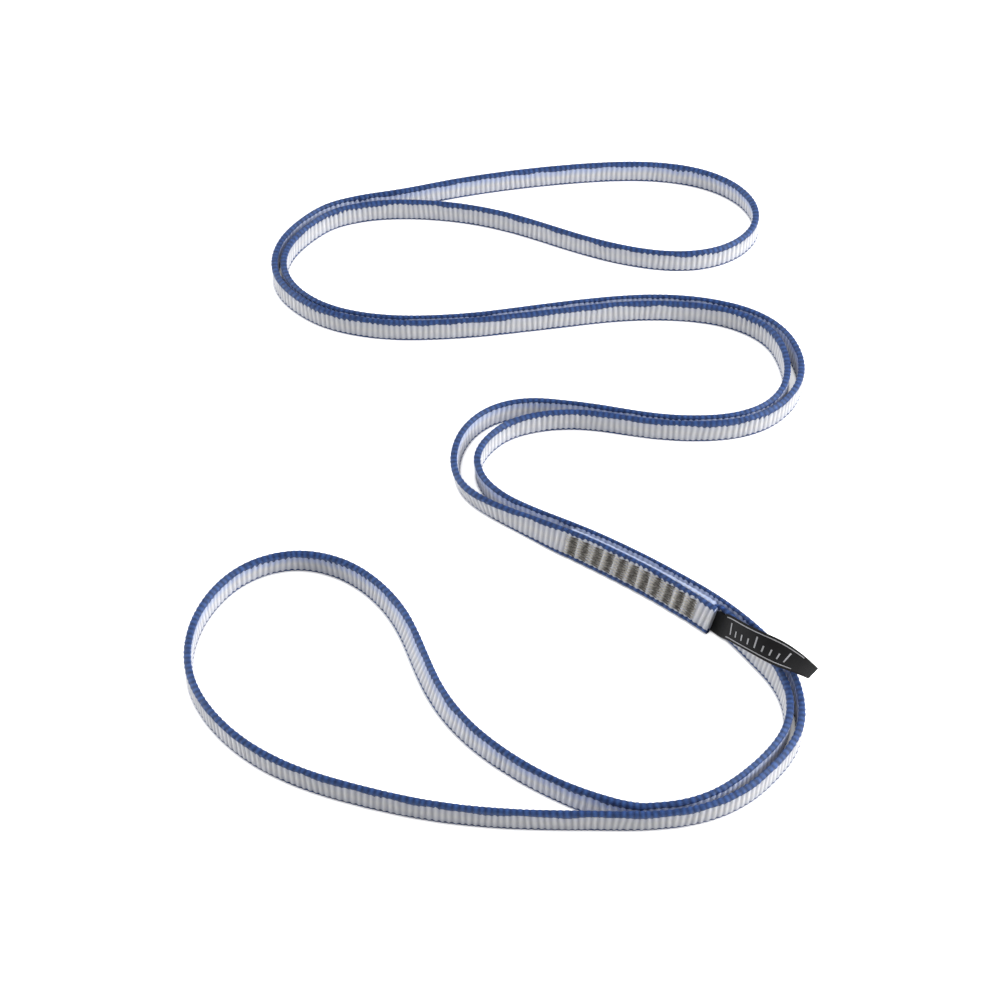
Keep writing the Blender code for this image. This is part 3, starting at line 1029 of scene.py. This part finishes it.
def drift(count: int, reach: int, seed: int) -> np.ndarray:
    """Draws smooth random values.

    Args:
        count: How many.
        reach: Over how many neighbours they are smoothed.
        seed: Where the random numbers start.

    Returns:
        Values about 0 whose spread is 1.
    """
    window = np.hanning(reach + 2)[1:-1]
    values = np.convolve(np.random.default_rng(seed).standard_normal(count + reach), window, "same")[:count]
    return values / values.std()


@dataclass
class Ribs:
    """Where the webbing's rings stand: several to each rib, from one groove over the crest to the next."""

    length: float
    pitch: float = 2.41 * MM
    pitch_spread: float = 0.05
    seed: int = 11
    # Where the rings of a rib stand, as shares of its width, and how high each is, as a share of its crest
    at: tuple[float, ...] = (0.0, 0.15, 0.31, 0.5, 0.69, 0.85)
    crest_at: tuple[float, ...] = (0.0, 0.22, 0.70, 1.0, 0.70, 0.22)
    count: int = field(init=False)
    number: np.ndarray = field(init=False)
    stations: np.ndarray = field(init=False)
    crest: np.ndarray = field(init=False)

    def __post_init__(self) -> None:
        """Places the ribs along the length, each a little wider or narrower than the next."""
        self.count = round(self.length / self.pitch)
        widths = 1 + self.pitch_spread * np.random.default_rng(self.seed).standard_normal(self.count)
        edges = np.concatenate([[0.0], np.cumsum(widths)])
        edges *= self.length / edges[-1]
        shares = np.array(self.at)
        inside = edges[:-1, None] + np.diff(edges)[:, None] * shares
        self.stations = np.append(inside.ravel(), self.length)
        self.number = np.append(np.repeat(np.arange(self.count), len(shares)), self.count - 1)
        self.crest = np.append(np.tile(self.crest_at, self.count), 0.0)

    def values(self, per_rib: np.ndarray) -> np.ndarray:
        """One value for each ring, from one for each rib."""
        return per_rib[self.number]


@dataclass
class Webbing:
    """The long strip of webbing: a ribbed white core between two blue selvedges with toothed edges."""

    route: Route
    body: str = "sling"
    # The ribs
    rib_depth: float = 0.30 * MM
    rib_depth_spread: float = 0.16
    rib_depth_reach: int = 2
    rib_depth_seed: int = 21
    rib_slant: float = 0.045
    rib_slant_reach: int = 6
    rib_slant_seed: int = 22
    # The core's corners on a face: height as a share, distance in from the blue, and depth under the face
    core_profile: tuple[tuple[float, float, float], ...] = (
        (-1.0, -0.16 * MM, 0.42 * MM),
        (-1.0, 0.06 * MM, 0.10 * MM),
        (-1.0, 0.42 * MM, 0.0),
        (0.0, 0.0, -0.03 * MM),
        (1.0, 0.42 * MM, 0.0),
        (1.0, 0.06 * MM, 0.10 * MM),
        (1.0, -0.16 * MM, 0.42 * MM),
    )
    # The selvedge's corners on a face: share of the way to its tip, and share of the ribs' relief
    selvedge_profile: tuple[tuple[float, float], ...] = ((0.0, 1.0), (0.32, 0.9), (0.62, 0.7), (0.84, 0.5))
    # How near each corner is to where white and blue meet
    core_rims: tuple[float, ...] = (1.0, 0.9, 0.25, 0.0, 0.9, 1.0, 1.0, 1.0, 0.9, 0.25, 0.0, 0.25, 0.9, 1.0)
    selvedge_rims: tuple[float, ...] = (1.0, 1.0, 0.5, 0.0, 0.0, 0.0, 0.0, 0.0, 0.0, 0.0, 0.5, 1.0, 1.0)
    # The faces and the edges
    stands_up: float = 0.75 * MM
    stands_out: float = 0.10 * MM
    more_outside: float = 0.18 * MM
    swell: float = 0.28 * MM
    swell_depth: float = 2.2 * MM
    tightest_bend: float = 36.0 * MM
    bend_window: int = 61
    edge_rounding: float = 1.1 * MM
    tip_rounding: float = 0.12 * MM
    tip_relief_share: float = 0.3
    under_core: float = 0.3 * MM
    inside: float = 0.3 * MM
    floor_clearance: float = 0.03 * MM
    # How far the blue reaches over a face, with its teeth
    blue_depth_upper: float = 1.60 * MM
    blue_depth_lower: float = 1.0 * MM
    blue_depth_least: float = 0.5 * MM
    blue_depth_most: float = 3.0 * MM
    less_blue_between: float = 0.85 * MM
    scallop: float = 0.26 * MM
    scallop_ribs: int = 4
    tooth: float = 0.34 * MM
    tooth_in_bends: float = 0.40 * MM
    tooth_spread: float = 0.3
    lower_share: float = 0.25
    edge_seed: int = 37
    # The seam: a wider front layer, a back layer with a bare top edge, and the pull of the bar tacks
    sewn_wider: float = 1.5 * MM
    sewn_from: float = 125.0 * MM
    sewn_easing: float = 70.0 * MM
    less_blue_sewn: float = 0.4 * MM
    more_blue_sewn: float = 0.5 * MM
    bare_easing: float = 6.0 * MM
    bare_depth: float = 0.55 * MM
    bare_drop: float = 1.5 * MM
    pinch: float = 0.3 * MM
    pinch_reach: float = 1.5 * MM
    # How many rows the bake maps have
    core_rows: int = 10
    selvedge_rows: int = 16
    ribs: Ribs = field(init=False)
    paired: np.ndarray = field(init=False)
    sewn: np.ndarray = field(init=False)
    bare: np.ndarray = field(init=False)
    half: np.ndarray = field(init=False)
    middle: np.ndarray = field(init=False)
    along: np.ndarray = field(init=False)
    up: np.ndarray = field(init=False)
    face: np.ndarray = field(init=False)
    bend: np.ndarray = field(init=False)
    relief: np.ndarray = field(init=False)
    slant: np.ndarray = field(init=False)
    pressed: np.ndarray = field(init=False)

    def __post_init__(self) -> None:
        """Reads the route at every ring."""
        along = lengths_along(self.route.whole)
        self.ribs = Ribs(float(along[-1]))
        across = left_normals(self.route.whole)
        columns = np.column_stack([self.route.whole, across, self.route.paired]).T
        read = (np.interp(self.ribs.stations, along, column) for column in columns)
        x, y, lean, left_x, left_y, self.paired = read
        self.sewn = ease((self.sewn_from - self.ribs.stations) / self.sewn_easing)
        stands_up = self.stands_up + self.sewn_wider * self.sewn
        self.half = (self.route.width + stands_up) / 2
        lean = np.radians(lean)[:, None]
        left = unit(np.column_stack([left_x, left_y, np.zeros_like(left_x)]))
        above = np.array([0.0, 0.0, 1.0])
        self.up = left * np.sin(lean) + above * np.cos(lean)
        self.face = left * np.cos(lean) - above * np.sin(lean)
        self.along = np.cross(left, above)
        self.middle = np.column_stack([x, y, self.route.height_of_middle(lean[:, 0])])
        self.middle += self.up * (stands_up / 2)[:, None]
        heading = np.unwrap(np.arctan2(self.along[:, 1], self.along[:, 0]))
        turning = np.gradient(heading, self.ribs.stations)
        window = np.hanning(self.bend_window)
        turning = np.convolve(turning, window / window.sum(), "same")
        self.bend = np.clip(np.abs(turning) * self.tightest_bend, 0.0, 1.0)
        spread = 1 + self.rib_depth_spread * drift(self.ribs.count, self.rib_depth_reach, self.rib_depth_seed)
        self.relief = self.rib_depth * self.ribs.values(spread) * (1 - self.ribs.crest)
        leaning = drift(self.ribs.count, self.rib_slant_reach, self.rib_slant_seed)
        self.slant = self.rib_slant * self.ribs.values(leaning)
        self.pressed = np.zeros_like(self.relief)
        into_seam = self.route.seam_length - self.ribs.length + self.ribs.stations
        self.bare = ease(into_seam / self.bare_easing)

    def press(self, places: Sequence[Place]) -> None:
        """Pulls both layers of the seam together under the bar tacks.

        Args:
            places: Where the bar tacks are.
        """
        layers = self.ribs.stations < self.route.seam_length + self.route.layer_easing
        layers |= layers[::-1]
        for place in places:
            away = (self.middle - place.middle) @ place.along
            near = np.linalg.norm(self.middle - place.middle, axis=1) < self.route.width
            dip = np.exp(-((away / self.pinch_reach) ** 2)) * self.pinch
            self.pressed = np.maximum(self.pressed, np.where(near & layers, dip, 0.0))

    def side(self, height: np.ndarray, facing: int, share: float = 1.0) -> np.ndarray:
        """Finds how far the face stands out at a height, with the ribs in it.

        Args:
            height: Height above the middle line at each ring.
            facing: Which face, as a sign: in the doubled stretch, -1 looks at the other strand.
            share: How much of the ribs' relief shows there.

        Returns:
            The signed distance from the middle line at each ring.
        """
        down = np.clip((self.half - np.abs(height)) / self.edge_rounding, 0.0, 1.0)
        rounding = np.sqrt(1 - (1 - down) ** 2)
        near_top = ease(2 * (height - self.half + self.swell_depth) / self.swell_depth)
        full = self.route.thickness / 2 + self.stands_out + self.swell * self.bend * near_top
        full += self.more_outside * (1 - self.paired * (facing < 0))
        return facing * ((full - self.pressed) * rounding - self.relief * share)

    def rings(self, outline: Outline) -> np.ndarray:
        """Lays rings of points on the route.

        Args:
            outline: The corners of every ring.

        Returns:
            An array of rings by corners by 3, no lower than the floor.
        """
        corners = []
        for side, height in outline:
            ahead = self.along * (self.slant * height)[:, None]
            corners.append(self.middle + self.face * side[:, None] + self.up * height[:, None] + ahead)
        made = np.stack(corners, axis=1)
        for end in (0, -1):
            made[end] -= self.along[end] * ((made[end] - self.middle[end]) @ self.along[end])[:, None]
        made[..., 2] = np.maximum(made[..., 2], self.floor_clearance)
        return made

    def blue_depth(self, edge: Edge, facing: int) -> np.ndarray:
        """Finds how far the blue of an edge reaches over one face, tooth by tooth.

        Args:
            edge: The upper or the lower edge.
            facing: Which face, as a sign.

        Returns:
            The depth at each ring.
        """
        upper = edge is Edge.UPPER
        # Each edge and face has two seeds of its own
        seed = self.edge_seed + 4 * edge.value + 2 * facing
        base = self.blue_depth_upper if upper else self.blue_depth_lower
        wave = self.ribs.values(drift(self.ribs.count, self.scallop_ribs, seed)) * self.scallop
        size = 1 + self.tooth_spread * self.ribs.values(drift(self.ribs.count, 1, seed + 1))
        tooth = (self.tooth + self.tooth_in_bends * self.bend) * size
        depth = (wave + tooth * (1 - 2 * self.ribs.crest)) * (1.0 if upper else self.lower_share) + base
        if upper and facing < 0:
            depth -= self.less_blue_between * self.paired
        change = -self.less_blue_sewn if upper else self.more_blue_sewn
        depth += change * self.sewn
        depth = np.clip(depth, self.blue_depth_least, self.blue_depth_most)
        return depth + (self.bare_depth - depth) * self.bare if upper else depth

    def core_outline(self) -> Outline:
        """Shapes the white core, up its right face and down its left one, rounded over at the blue.

        Returns:
            Its outline.
        """
        outline = []
        for facing in (-1, 1):
            top = self.half - self.blue_depth(Edge.UPPER, facing)
            bottom = self.blue_depth(Edge.LOWER, facing) - self.half
            middle = (top + bottom) / 2
            reach = (top - bottom) / 2
            face = []
            for share, in_from_rim, sunk in self.core_profile:
                height = np.minimum(middle + share * reach - math.copysign(in_from_rim, share), self.half)
                face.append((self.side(height, facing) - facing * sunk, height))
            outline += face if facing < 0 else face[::-1]
        return outline

    def selvedge_outline(self, edge: Edge) -> Outline:
        """Shapes a blue selvedge, from inside the left face over the edge and down to inside the right one.

        Args:
            edge: The upper or the lower edge.

        Returns:
            Its outline.
        """
        half = self.half - (self.bare * self.bare_drop if edge is Edge.UPPER else 0.0)
        tip = half - self.relief * self.tip_relief_share
        faces = []
        for facing in (1, -1):
            depth = self.blue_depth(edge, facing)
            root = half - depth
            near_tip = np.minimum(half - self.tip_rounding, tip)
            face = [(facing * np.full_like(root, self.inside), root - self.under_core)]
            for share, relief_share in self.selvedge_profile:
                height = root - self.under_core + (depth + self.under_core) * share
                face.append((self.side(edge.value * height, facing, relief_share), height))
            face.append((self.side(edge.value * near_tip, facing, self.tip_relief_share), near_tip))
            faces.append(face)
        left, right = faces
        outline = left + [(np.zeros_like(tip), tip)] + right[::-1]
        return [(side, edge.value * height) for side, height in outline]

    def build(self, tacks: Sequence[Place]) -> list[bpy.types.Object]:
        """Builds and dresses the core and the selvedges.

        Args:
            tacks: Where the bar tacks pull the layers together.

        Returns:
            The core, then the two selvedges.
        """
        self.press(tacks)
        white = WovenFinish(
            "white_webbing",
            roughness=0.62,
            sheen=0.15,
            soft_depth=3.5 * MM,
            soft_share=0.5,
        ).material()
        blue = WovenFinish(
            "blue_selvedge",
            roughness=0.5,
            specular=0.8,
            shine=(0.62, 0.76, 1.0, 1.0),
            shine_across=0.9,
            patchy=0.45,
            # The blue's crest colour, and the painted shade of its grooves
            crest=(0.060, 0.138, 0.42, 1.0),
            groove=(0.009, 0.018, 0.068, 1.0),
            rim=(0.012, 0.030, 0.13, 1.0),
            rim_share=0.5,
            yarn_pitch=0.36 * MM,
            pick_pitch=0.9 * MM,
        ).material()
        core = self.strip("webbing_core", self.core_outline(), self.core_rims, white, self.core_rows)
        pieces = [core]
        for edge in Edge:
            name = f"selvedge_{edge.name.lower()}"
            outline = self.selvedge_outline(edge)
            pieces.append(self.strip(name, outline, self.selvedge_rims, blue, self.selvedge_rows))
        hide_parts("webbing")
        return pieces

    def strip(
        self,
        name: str,
        outline: Outline,
        rim_shares: Sequence[float],
        material: bpy.types.Material,
        rows: int,
    ) -> bpy.types.Object:
        """Makes one of the long pieces, riding on the sling.

        Args:
            name: The piece's name.
            outline: Its outline.
            rim_shares: For each corner, how near it is to where white and blue meet, from 0 to 1.
            material: Its finish.
            rows: How many rows its bake map folds it into.

        Returns:
            The piece.
        """
        sweeps = Sweeps((RIB_MASK, RIM_MASK), rows)
        rim = np.tile(rim_shares, (len(self.relief), 1))
        sweeps.add(self.rings(outline), self.ribs.stations, (self.ribs.crest, rim))
        made = sweeps.finish(name, material)
        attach(made, self.body)
        return made


@dataclass
class BarTacks:
    """The rows of close zigzag stitches that sew the two layers together."""

    route: Route
    body: str = "sling"
    count: int = 11
    first_from_end: float = 10.6 * MM
    last_from_hidden_end: float = 4.1 * MM
    height: float = 7.4 * MM
    # The satin stitches lie straight across, with painted shade over most of their length
    satin_length: float = 3.4 * MM
    satin_stitches: int = 16
    satin_radius: float = 0.25 * MM
    satin_spread: float = 0.12
    satin_lean: float = 0.35 * MM
    satin_painted_shade: float = 0.8
    # The zigzag runs over them, with painted shade in its middle that fades towards its turns
    zigzag_length: float = 5.5 * MM
    zigzag_shift: float = -0.7 * MM
    zigzag_legs: int = 12
    zigzag_radius: float = 0.22 * MM
    zigzag_spread: float = 0.07
    zigzag_lift_share: float = 0.9
    zigzag_painted_shade: float = 0.85
    # How far the zigzag's painted shade reaches from its middle, and how sharply it fades
    painted_shade_reach: float = 1.7 * MM
    painted_shade_steepness: int = 4
    # How a stitch lies over the face
    rise: float = 0.5 * MM
    stands_out: float = 0.16 * MM
    sag: float = 0.22 * MM
    # How closely the satin's painted shade gathers where a stitch sags
    sag_shade_power: float = 1.5
    ends_in: float = 0.36 * MM
    dive_steepness: float = 7.0
    rings: int = 9
    corners: int = 6
    seed: int = 51

    def places(self) -> list[Place]:
        """Where the bar tacks are, counted from the seam's open end."""
        last = self.route.seam_length - self.last_from_hidden_end
        return [self.route.seam_place(at) for at in np.linspace(self.first_from_end, last, self.count)]

    def stitch(
        self, place: Place, facing: int, start: tuple[float, float], end: tuple[float, float], layer: float
    ) -> tuple[np.ndarray, np.ndarray]:
        """Lays the middle line of one stitch over a face.

        Args:
            place: The bar tack's place.
            facing: Which face, as a sign.
            start: Where it comes out of the webbing, along and up.
            end: Where it goes in again.
            layer: How far above the face it lies.

        Returns:
            Its points, and how far each is pulled down, from 0 to 1, which sets the satin's painted shade.
        """
        share = np.linspace(0.0, 1.0, self.rings)
        middle = np.sin(share * math.pi)
        dive = (1 - np.minimum(1.0, np.minimum(share, 1 - share) * self.dive_steepness)) * self.ends_in
        out = place.depth + self.stands_out + layer - self.sag * middle**2 - dive
        along = start[0] + (end[0] - start[0]) * share
        up = start[1] + (end[1] - start[1]) * share + self.rise
        points = np.array([place.point(a, b, facing * c) for a, b, c in zip(along, up, out)])
        points[:, 2] = np.maximum(points[:, 2], self.satin_radius)
        return points, middle**self.sag_shade_power

    def tube(self, points: np.ndarray, radius: float) -> np.ndarray:
        """Lays rings of a round thread along its middle line.

        Args:
            points: The middle line.
            radius: The thread's radius.

        Returns:
            An array of rings by corners by 3.
        """
        travel = unit(np.gradient(points, axis=0))
        across = unit(np.cross(travel, [0.0, 0.0, 1.0]))
        over = np.cross(travel, across)
        turn = np.linspace(0.0, 2 * math.pi, self.corners, endpoint=False)
        ring = np.cos(turn)[None, :, None] * across[:, None] + np.sin(turn)[None, :, None] * over[:, None]
        return points[:, None] + ring * radius

    def satin(self, sweeps: Sweeps, place: Place, facing: int, random: np.random.Generator) -> None:
        """Sews the stitches that lie straight across a face, one over the other, with painted shade that is
        deepest where they sag.

        Args:
            sweeps: The mesh that they go into.
            place: The bar tack's place.
            facing: Which face, as a sign.
            random: Where their unevenness comes from.
        """
        for i, up in enumerate(np.linspace(-self.height / 2, self.height / 2, self.satin_stitches)):
            half = self.satin_length / 2 * (1 + self.satin_spread * random.standard_normal())
            lean = self.satin_lean / 2 * (1 if i % 2 else -1)
            line, pressed = self.stitch(place, facing, (-half, up - lean), (half, up + lean), 0.0)
            # Painted shade over most of the stitch, deepest where it sags
            soil_and_shade = self.satin_painted_shade + (1 - self.satin_painted_shade) * pressed
            sweeps.add(self.tube(line, self.satin_radius), masked=(soil_and_shade,))

    def zigzag(self, sweeps: Sweeps, place: Place, facing: int, random: np.random.Generator) -> None:
        """Sews the zigzag over them, with painted shade in its middle and the thread's light colour where it
        turns.

        Args:
            sweeps: The mesh that it goes into.
            place: The bar tack's place.
            facing: Which face, as a sign.
            random: Where its unevenness comes from.
        """
        turns = np.linspace(-self.height / 2, self.height / 2, self.zigzag_legs + 1)
        ends = self.zigzag_length / 2 * (1 + self.zigzag_spread * random.standard_normal(len(turns)))
        sides = np.where(np.arange(len(turns)) % 2, 1, -1) * ends + self.zigzag_shift
        for start, end in itertools.pairwise(zip(sides, turns)):
            line, _ = self.stitch(place, facing, start, end, self.satin_radius * self.zigzag_lift_share)
            across = np.linspace(start[0], end[0], self.rings) / self.painted_shade_reach
            # Painted shade in the middle of each leg, fading towards the turns
            soil_and_shade = self.zigzag_painted_shade * np.exp(-(across**self.painted_shade_steepness))
            sweeps.add(self.tube(line, self.zigzag_radius), masked=(soil_and_shade,))

    def sew(self, place: Place, number: int) -> Sweeps:
        """Sews one bar tack, on both faces.

        Args:
            place: Its place.
            number: Its number, from 1.

        Returns:
            The mesh of its stitches.
        """
        sweeps = Sweeps((PAINTED_SHADE_MASK,))
        random = np.random.default_rng(self.seed + number)
        for facing in (1, -1):
            self.satin(sweeps, place, facing, random)
            self.zigzag(sweeps, place, facing, random)
        return sweeps

    def build(self) -> list[bpy.types.Object]:
        """Builds and dresses the bar tacks.

        Returns:
            One piece for each.
        """
        thread = StitchFinish("tack_thread", roughness=0.5, sheen=0.2, specular=0.5).material()
        pieces = []
        for number, place in enumerate(self.places(), start=1):
            made = self.sew(place, number).finish(f"bar_tack_{number:02d}_stitches", thread)
            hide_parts(f"bar_tack_{number:02d}")
            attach(made, self.body)
            pieces.append(made)
        return pieces


@dataclass
class Label:
    """The woven label, sewn in between the layers, with its free length bending out over the webbing."""

    route: Route
    width: float = 9.8 * MM
    thickness: float = 0.5 * MM
    spacing: float = 0.5 * MM
    corner_height_shares: tuple[float, ...] = (-0.47, -0.4, -0.2, 0.0, 0.2, 0.4, 0.47)
    edge_thickness_share: float = 0.8
    # The sewn end, which tucks in between the layers, and the fold
    root_length: float = 12.5 * MM
    root_shows: float = 0.15 * MM
    seat_gap: float = 0.3 * MM
    ahead: float = 3.0 * MM
    tuck: float = 2.6 * MM
    tuck_reach: float = 3.0 * MM
    tuck_middle_share: float = 0.5
    bend_length: float = 4.0 * MM
    # The slanted tip
    tip_slant: float = 4.5 * MM
    slant_reach: float = 9.0 * MM
    # The woven ticks and the lines along both edges
    tick_first: float = 9.0 * MM
    tick_pitch: float = 3.6 * MM
    tick_count: int = 9
    tick_width: float = 0.7 * MM
    tick_height: float = 2.4 * MM
    tall_tick_every: int = 4
    tall_tick_height: float = 4.6 * MM
    line_inset: float = 1.1 * MM
    line_width: float = 0.35 * MM
    line_first: float = 6.0 * MM
    line_last_from_tip: float = 8.0 * MM
    yarn_rise: float = 0.06 * MM
    yarn_side_share: float = 0.4
    yarn_inset: float = 0.08 * MM
    hinge: Place = field(init=False)
    middle: np.ndarray = field(init=False)
    along: np.ndarray = field(init=False)
    up: np.ndarray = field(init=False)
    out: np.ndarray = field(init=False)
    stations: np.ndarray = field(init=False)
    fold_at: float = field(init=False)

    def root_place(self, from_end: float) -> Place:
        """Finds the label's place between the layers, raised so that its lower edge clears the floor.

        Args:
            from_end: Distance back from the seam's open end.

        Returns:
            The place, whose depth is to the label's own faces.
        """
        place = self.route.seam_place(from_end)
        rise = (self.width - self.route.width) / 2 + self.route.floor_cut
        return Place(place.point(0.0, rise, 0.0), place.along, place.up, self.thickness / 2)

    def __post_init__(self) -> None:
        """Lays the label's middle line from its sewn end to its tip."""
        hinge = self.root_place(-(self.root_shows + self.seat_gap + self.thickness / 2))
        self.hinge = hinge
        lean = math.degrees(math.asin(math.hypot(*hinge.up[:2])))
        table = np.array(LABEL_ROUTE)
        free = self.route.routed(table[:, :3], 2)
        free = np.column_stack([free[:, :2], table[:, 3] * self.route.width, free[:, 2]])
        points = np.vstack([[*hinge.middle, lean], [*hinge.point(self.ahead, 0.0, 0.0), lean], free])
        curve = natural_cubic(points, self.spacing)
        travel = unit(np.gradient(curve[:, :3], axis=0))
        across = left_normals(curve)
        lean = np.radians(curve[:, 3])
        up = np.column_stack([across * np.sin(lean)[:, None], np.cos(lean)])
        up = unit(up - travel * (travel * up).sum(axis=1)[:, None])
        roots = [self.root_place(at) for at in np.arange(self.root_length, 0.0, -2 * self.spacing)]
        self.middle = np.vstack([[place.middle for place in roots], curve[:, :3]])
        self.along = np.vstack([[place.along for place in roots], travel])
        self.up = np.vstack([[place.up for place in roots], up])
        self.out = np.cross(self.up, self.along)
        steps = np.linalg.norm(np.diff(self.middle, axis=0), axis=1)
        self.stations = np.concatenate([[0.0], np.cumsum(steps)])
        self.fold_at = float(self.stations[len(roots)])

    def rings(
        self, outline: Sequence[tuple[float, float]], first: float, last: float
    ) -> tuple[np.ndarray, np.ndarray]:
        """Lays rings of points along the label.

        Args:
            outline: The section's corners, out of the face and up the width.
            first: Distance of the first ring from the sewn end.
            last: Distance of the last one.

        Returns:
            An array of rings by corners by 3, and each ring's distance.
        """
        count = max(2, round((last - first) / self.spacing) + 1)
        reading = np.linspace(first, last, count)
        middle, along, up, out = (
            np.column_stack([np.interp(reading, self.stations, column) for column in table.T])
            for table in (self.middle, self.along, self.up, self.out)
        )
        share = np.clip(1 - (self.stations[-1] - reading) / self.slant_reach, 0.0, 1.0)
        tucked = 1 - ease((reading - self.fold_at + self.tuck_reach) / self.tuck_reach)
        corners = []
        for depth, height in outline:
            trail = -self.tip_slant * share * height / self.width
            low = height - tucked * self.tuck * (self.tuck_middle_share + height / self.width)
            corner = middle + unit(out) * depth + unit(up) * low[:, None]
            corners.append(corner + unit(along) * trail[:, None])
        return np.stack(corners, axis=1), reading

    def cloth_outline(self) -> list[tuple[float, float]]:
        """Shapes the cloth's section: two flat faces, a little thinner towards rounded edges.

        Returns:
            Its corners, out of the face and up the width.
        """
        heights = np.array(self.corner_height_shares) * self.width
        depths = np.full_like(heights, self.thickness / 2)
        depths[[0, -1]] *= self.edge_thickness_share
        right = list(zip(-depths, heights))
        left = list(zip(depths, heights))[::-1]
        return right + [(0.0, self.width / 2)] + left + [(0.0, -self.width / 2)]

    def bar(self, sweeps: Sweeps, first: float, last: float, low: float, high: float) -> None:
        """Adds one raised bar of light yarn on the label's shown face.

        Args:
            sweeps: The mesh that it goes into.
            first: Where it starts along the label.
            last: Where it ends.
            low: Its lower edge across the label.
            high: Its upper edge.
        """
        face = -self.thickness / 2
        side = self.yarn_rise * self.yarn_side_share
        inset = min(self.yarn_inset, (high - low) / 4)
        outline = [
            (face + self.yarn_rise, low),
            (face - side, low),
            (face - self.yarn_rise, low + inset),
            (face - self.yarn_rise, high - inset),
            (face - side, high),
            (face + self.yarn_rise, high),
        ]
        rings, reading = self.rings(outline, first, last)
        sweeps.add(rings, reading)

    def build(self) -> list[bpy.types.Object]:
        """Builds and dresses the label and its woven ticks.

        Returns:
            The cloth and the ticks.
        """
        cloth_finish = ClothFinish("label_cloth", roughness=0.7, sheen=0.04, specular=0.2).material()
        yarn_finish = ClothFinish(
            "label_yarn",
            roughness=0.6,
            sheen=0.2,
            # The ticks' own light yarn, and its painted shade where it passes under
            over=(0.58, 0.58, 0.60, 1.0),
            under=(0.30, 0.30, 0.32, 1.0),
        ).material()
        sweeps = Sweeps()
        rings, reading = self.rings(self.cloth_outline(), 0.0, float(self.stations[-1]))
        sweeps.add(rings, reading)
        cloth = sweeps.finish("label_cloth", cloth_finish)
        bend_end = self.hinge.point(self.bend_length, 0.0, 0.0)
        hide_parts("label_root", "label_tab")
        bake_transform(cloth)
        marks = Sweeps()
        for i in range(self.tick_count):
            start = self.fold_at + self.tick_first + i * self.tick_pitch
            height = self.tick_height if i % self.tall_tick_every else self.tall_tick_height
            foot = -self.tall_tick_height / 2
            self.bar(marks, start, start + self.tick_width, foot, height + foot)
        for edge in Edge:
            middle = edge.value * (self.width / 2 - self.line_inset)
            start = self.fold_at + self.line_first
            end = float(self.stations[-1]) - self.line_last_from_tip
            self.bar(marks, start, end, middle - self.line_width / 2, middle + self.line_width / 2)
        ticks = marks.finish("label_ticks", yarn_finish)
        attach(ticks, "label")
        return [cloth, ticks]


@dataclass(frozen=True)
class SoftBox:
    """A soft box that faces the sling: its place, its width and height, and its power in watts."""

    name: str
    place: tuple[float, float, float]
    size: tuple[float, float]
    power: float

    def build(self) -> None:
        """Hangs the soft box."""
        data = bpy.data.lights.new(self.name, "AREA")
        data.shape = "RECTANGLE"
        data.size, data.size_y = self.size
        data.energy = self.power
        made = bpy.data.objects.new(self.name, data)
        made.location = self.place
        made.rotation_euler = (-Vector(self.place)).to_track_quat("-Z", "Y").to_euler()
        bpy.context.scene.collection.objects.link(made)


@dataclass
class Studio:
    """The pale floor, the soft boxes, the world and the camera."""

    focal_pixels: float = 2357.0
    picture_pixels: float = 992.0
    sensor: float = 36.0
    camera_place: tuple[float, float, float] = (-0.00675, -0.70097, 0.680)
    camera_tilt: float = 45.0
    floor_size: float = 12.0
    world_light: float = 0.26
    soft_boxes: tuple[SoftBox, ...] = (
        SoftBox("left_box", (-1.35, 0.25, 0.42), (1.3, 0.7), 13.5),
        SoftBox("right_box", (1.0, -0.08, 0.62), (1.0, 0.7), 16.5),
        SoftBox("back_box", (0.0, 1.3, 0.9), (1.6, 0.6), 3.0),
    )

    def floor(self) -> None:
        """The floor, which isn't part of the object."""
        mesh = bmesh.new()
        bmesh.ops.create_grid(mesh, x_segments=1, y_segments=1, size=self.floor_size / 2)
        data = bpy.data.meshes.new("studio_floor")
        mesh.to_mesh(data)
        mesh.free()
        data.materials.append(FloorFinish("studio_floor", roughness=1.0, specular=0.0).material())
        made = bpy.data.objects.new("studio_floor", data)
        bpy.context.scene.collection.objects.link(made)

    def world(self) -> None:
        """Even light from all round, seen as white by the camera."""
        world = bpy.data.worlds.new("studio_world")
        bpy.context.scene.world = world
        world.use_nodes = True
        nodes = Nodes(world.node_tree)
        background = world.node_tree.nodes["Background"]
        background.inputs["Color"].default_value = WHITE
        seen = nodes.add("LightPath").outputs["Is Camera Ray"]
        strength = nodes.stretch(seen, 0.0, 1.0, self.world_light, 1.0)
        nodes.feed(background.inputs["Strength"], strength)

    def camera(self) -> None:
        """The photograph's camera."""
        data = bpy.data.cameras.new("camera")
        data.sensor_fit = "HORIZONTAL"
        data.sensor_width = self.sensor
        data.lens = self.focal_pixels / self.picture_pixels * self.sensor
        made = bpy.data.objects.new("camera", data)
        made.location = self.camera_place
        made.rotation_euler = (math.radians(self.camera_tilt), 0.0, 0.0)
        bpy.context.scene.collection.objects.link(made)
        bpy.context.scene.camera = made

    def build(self) -> None:
        """Sets up the studio."""
        bpy.context.scene.view_settings.view_transform = "Standard"
        self.camera()
        self.floor()
        self.world()
        for soft_box in self.soft_boxes:
            soft_box.build()


def main() -> None:
    """Builds the studio and the sling."""
    logging.basicConfig(level=logging.INFO, format="%(message)s")
    Studio().build()
    route = Route()
    tacks = BarTacks(route)
    webbing = Webbing(route)
    core, *selvedges = webbing.build(tacks.places())
    stitches = tacks.build()
    label = Label(route).build()


if __name__ == "__main__":
    main()
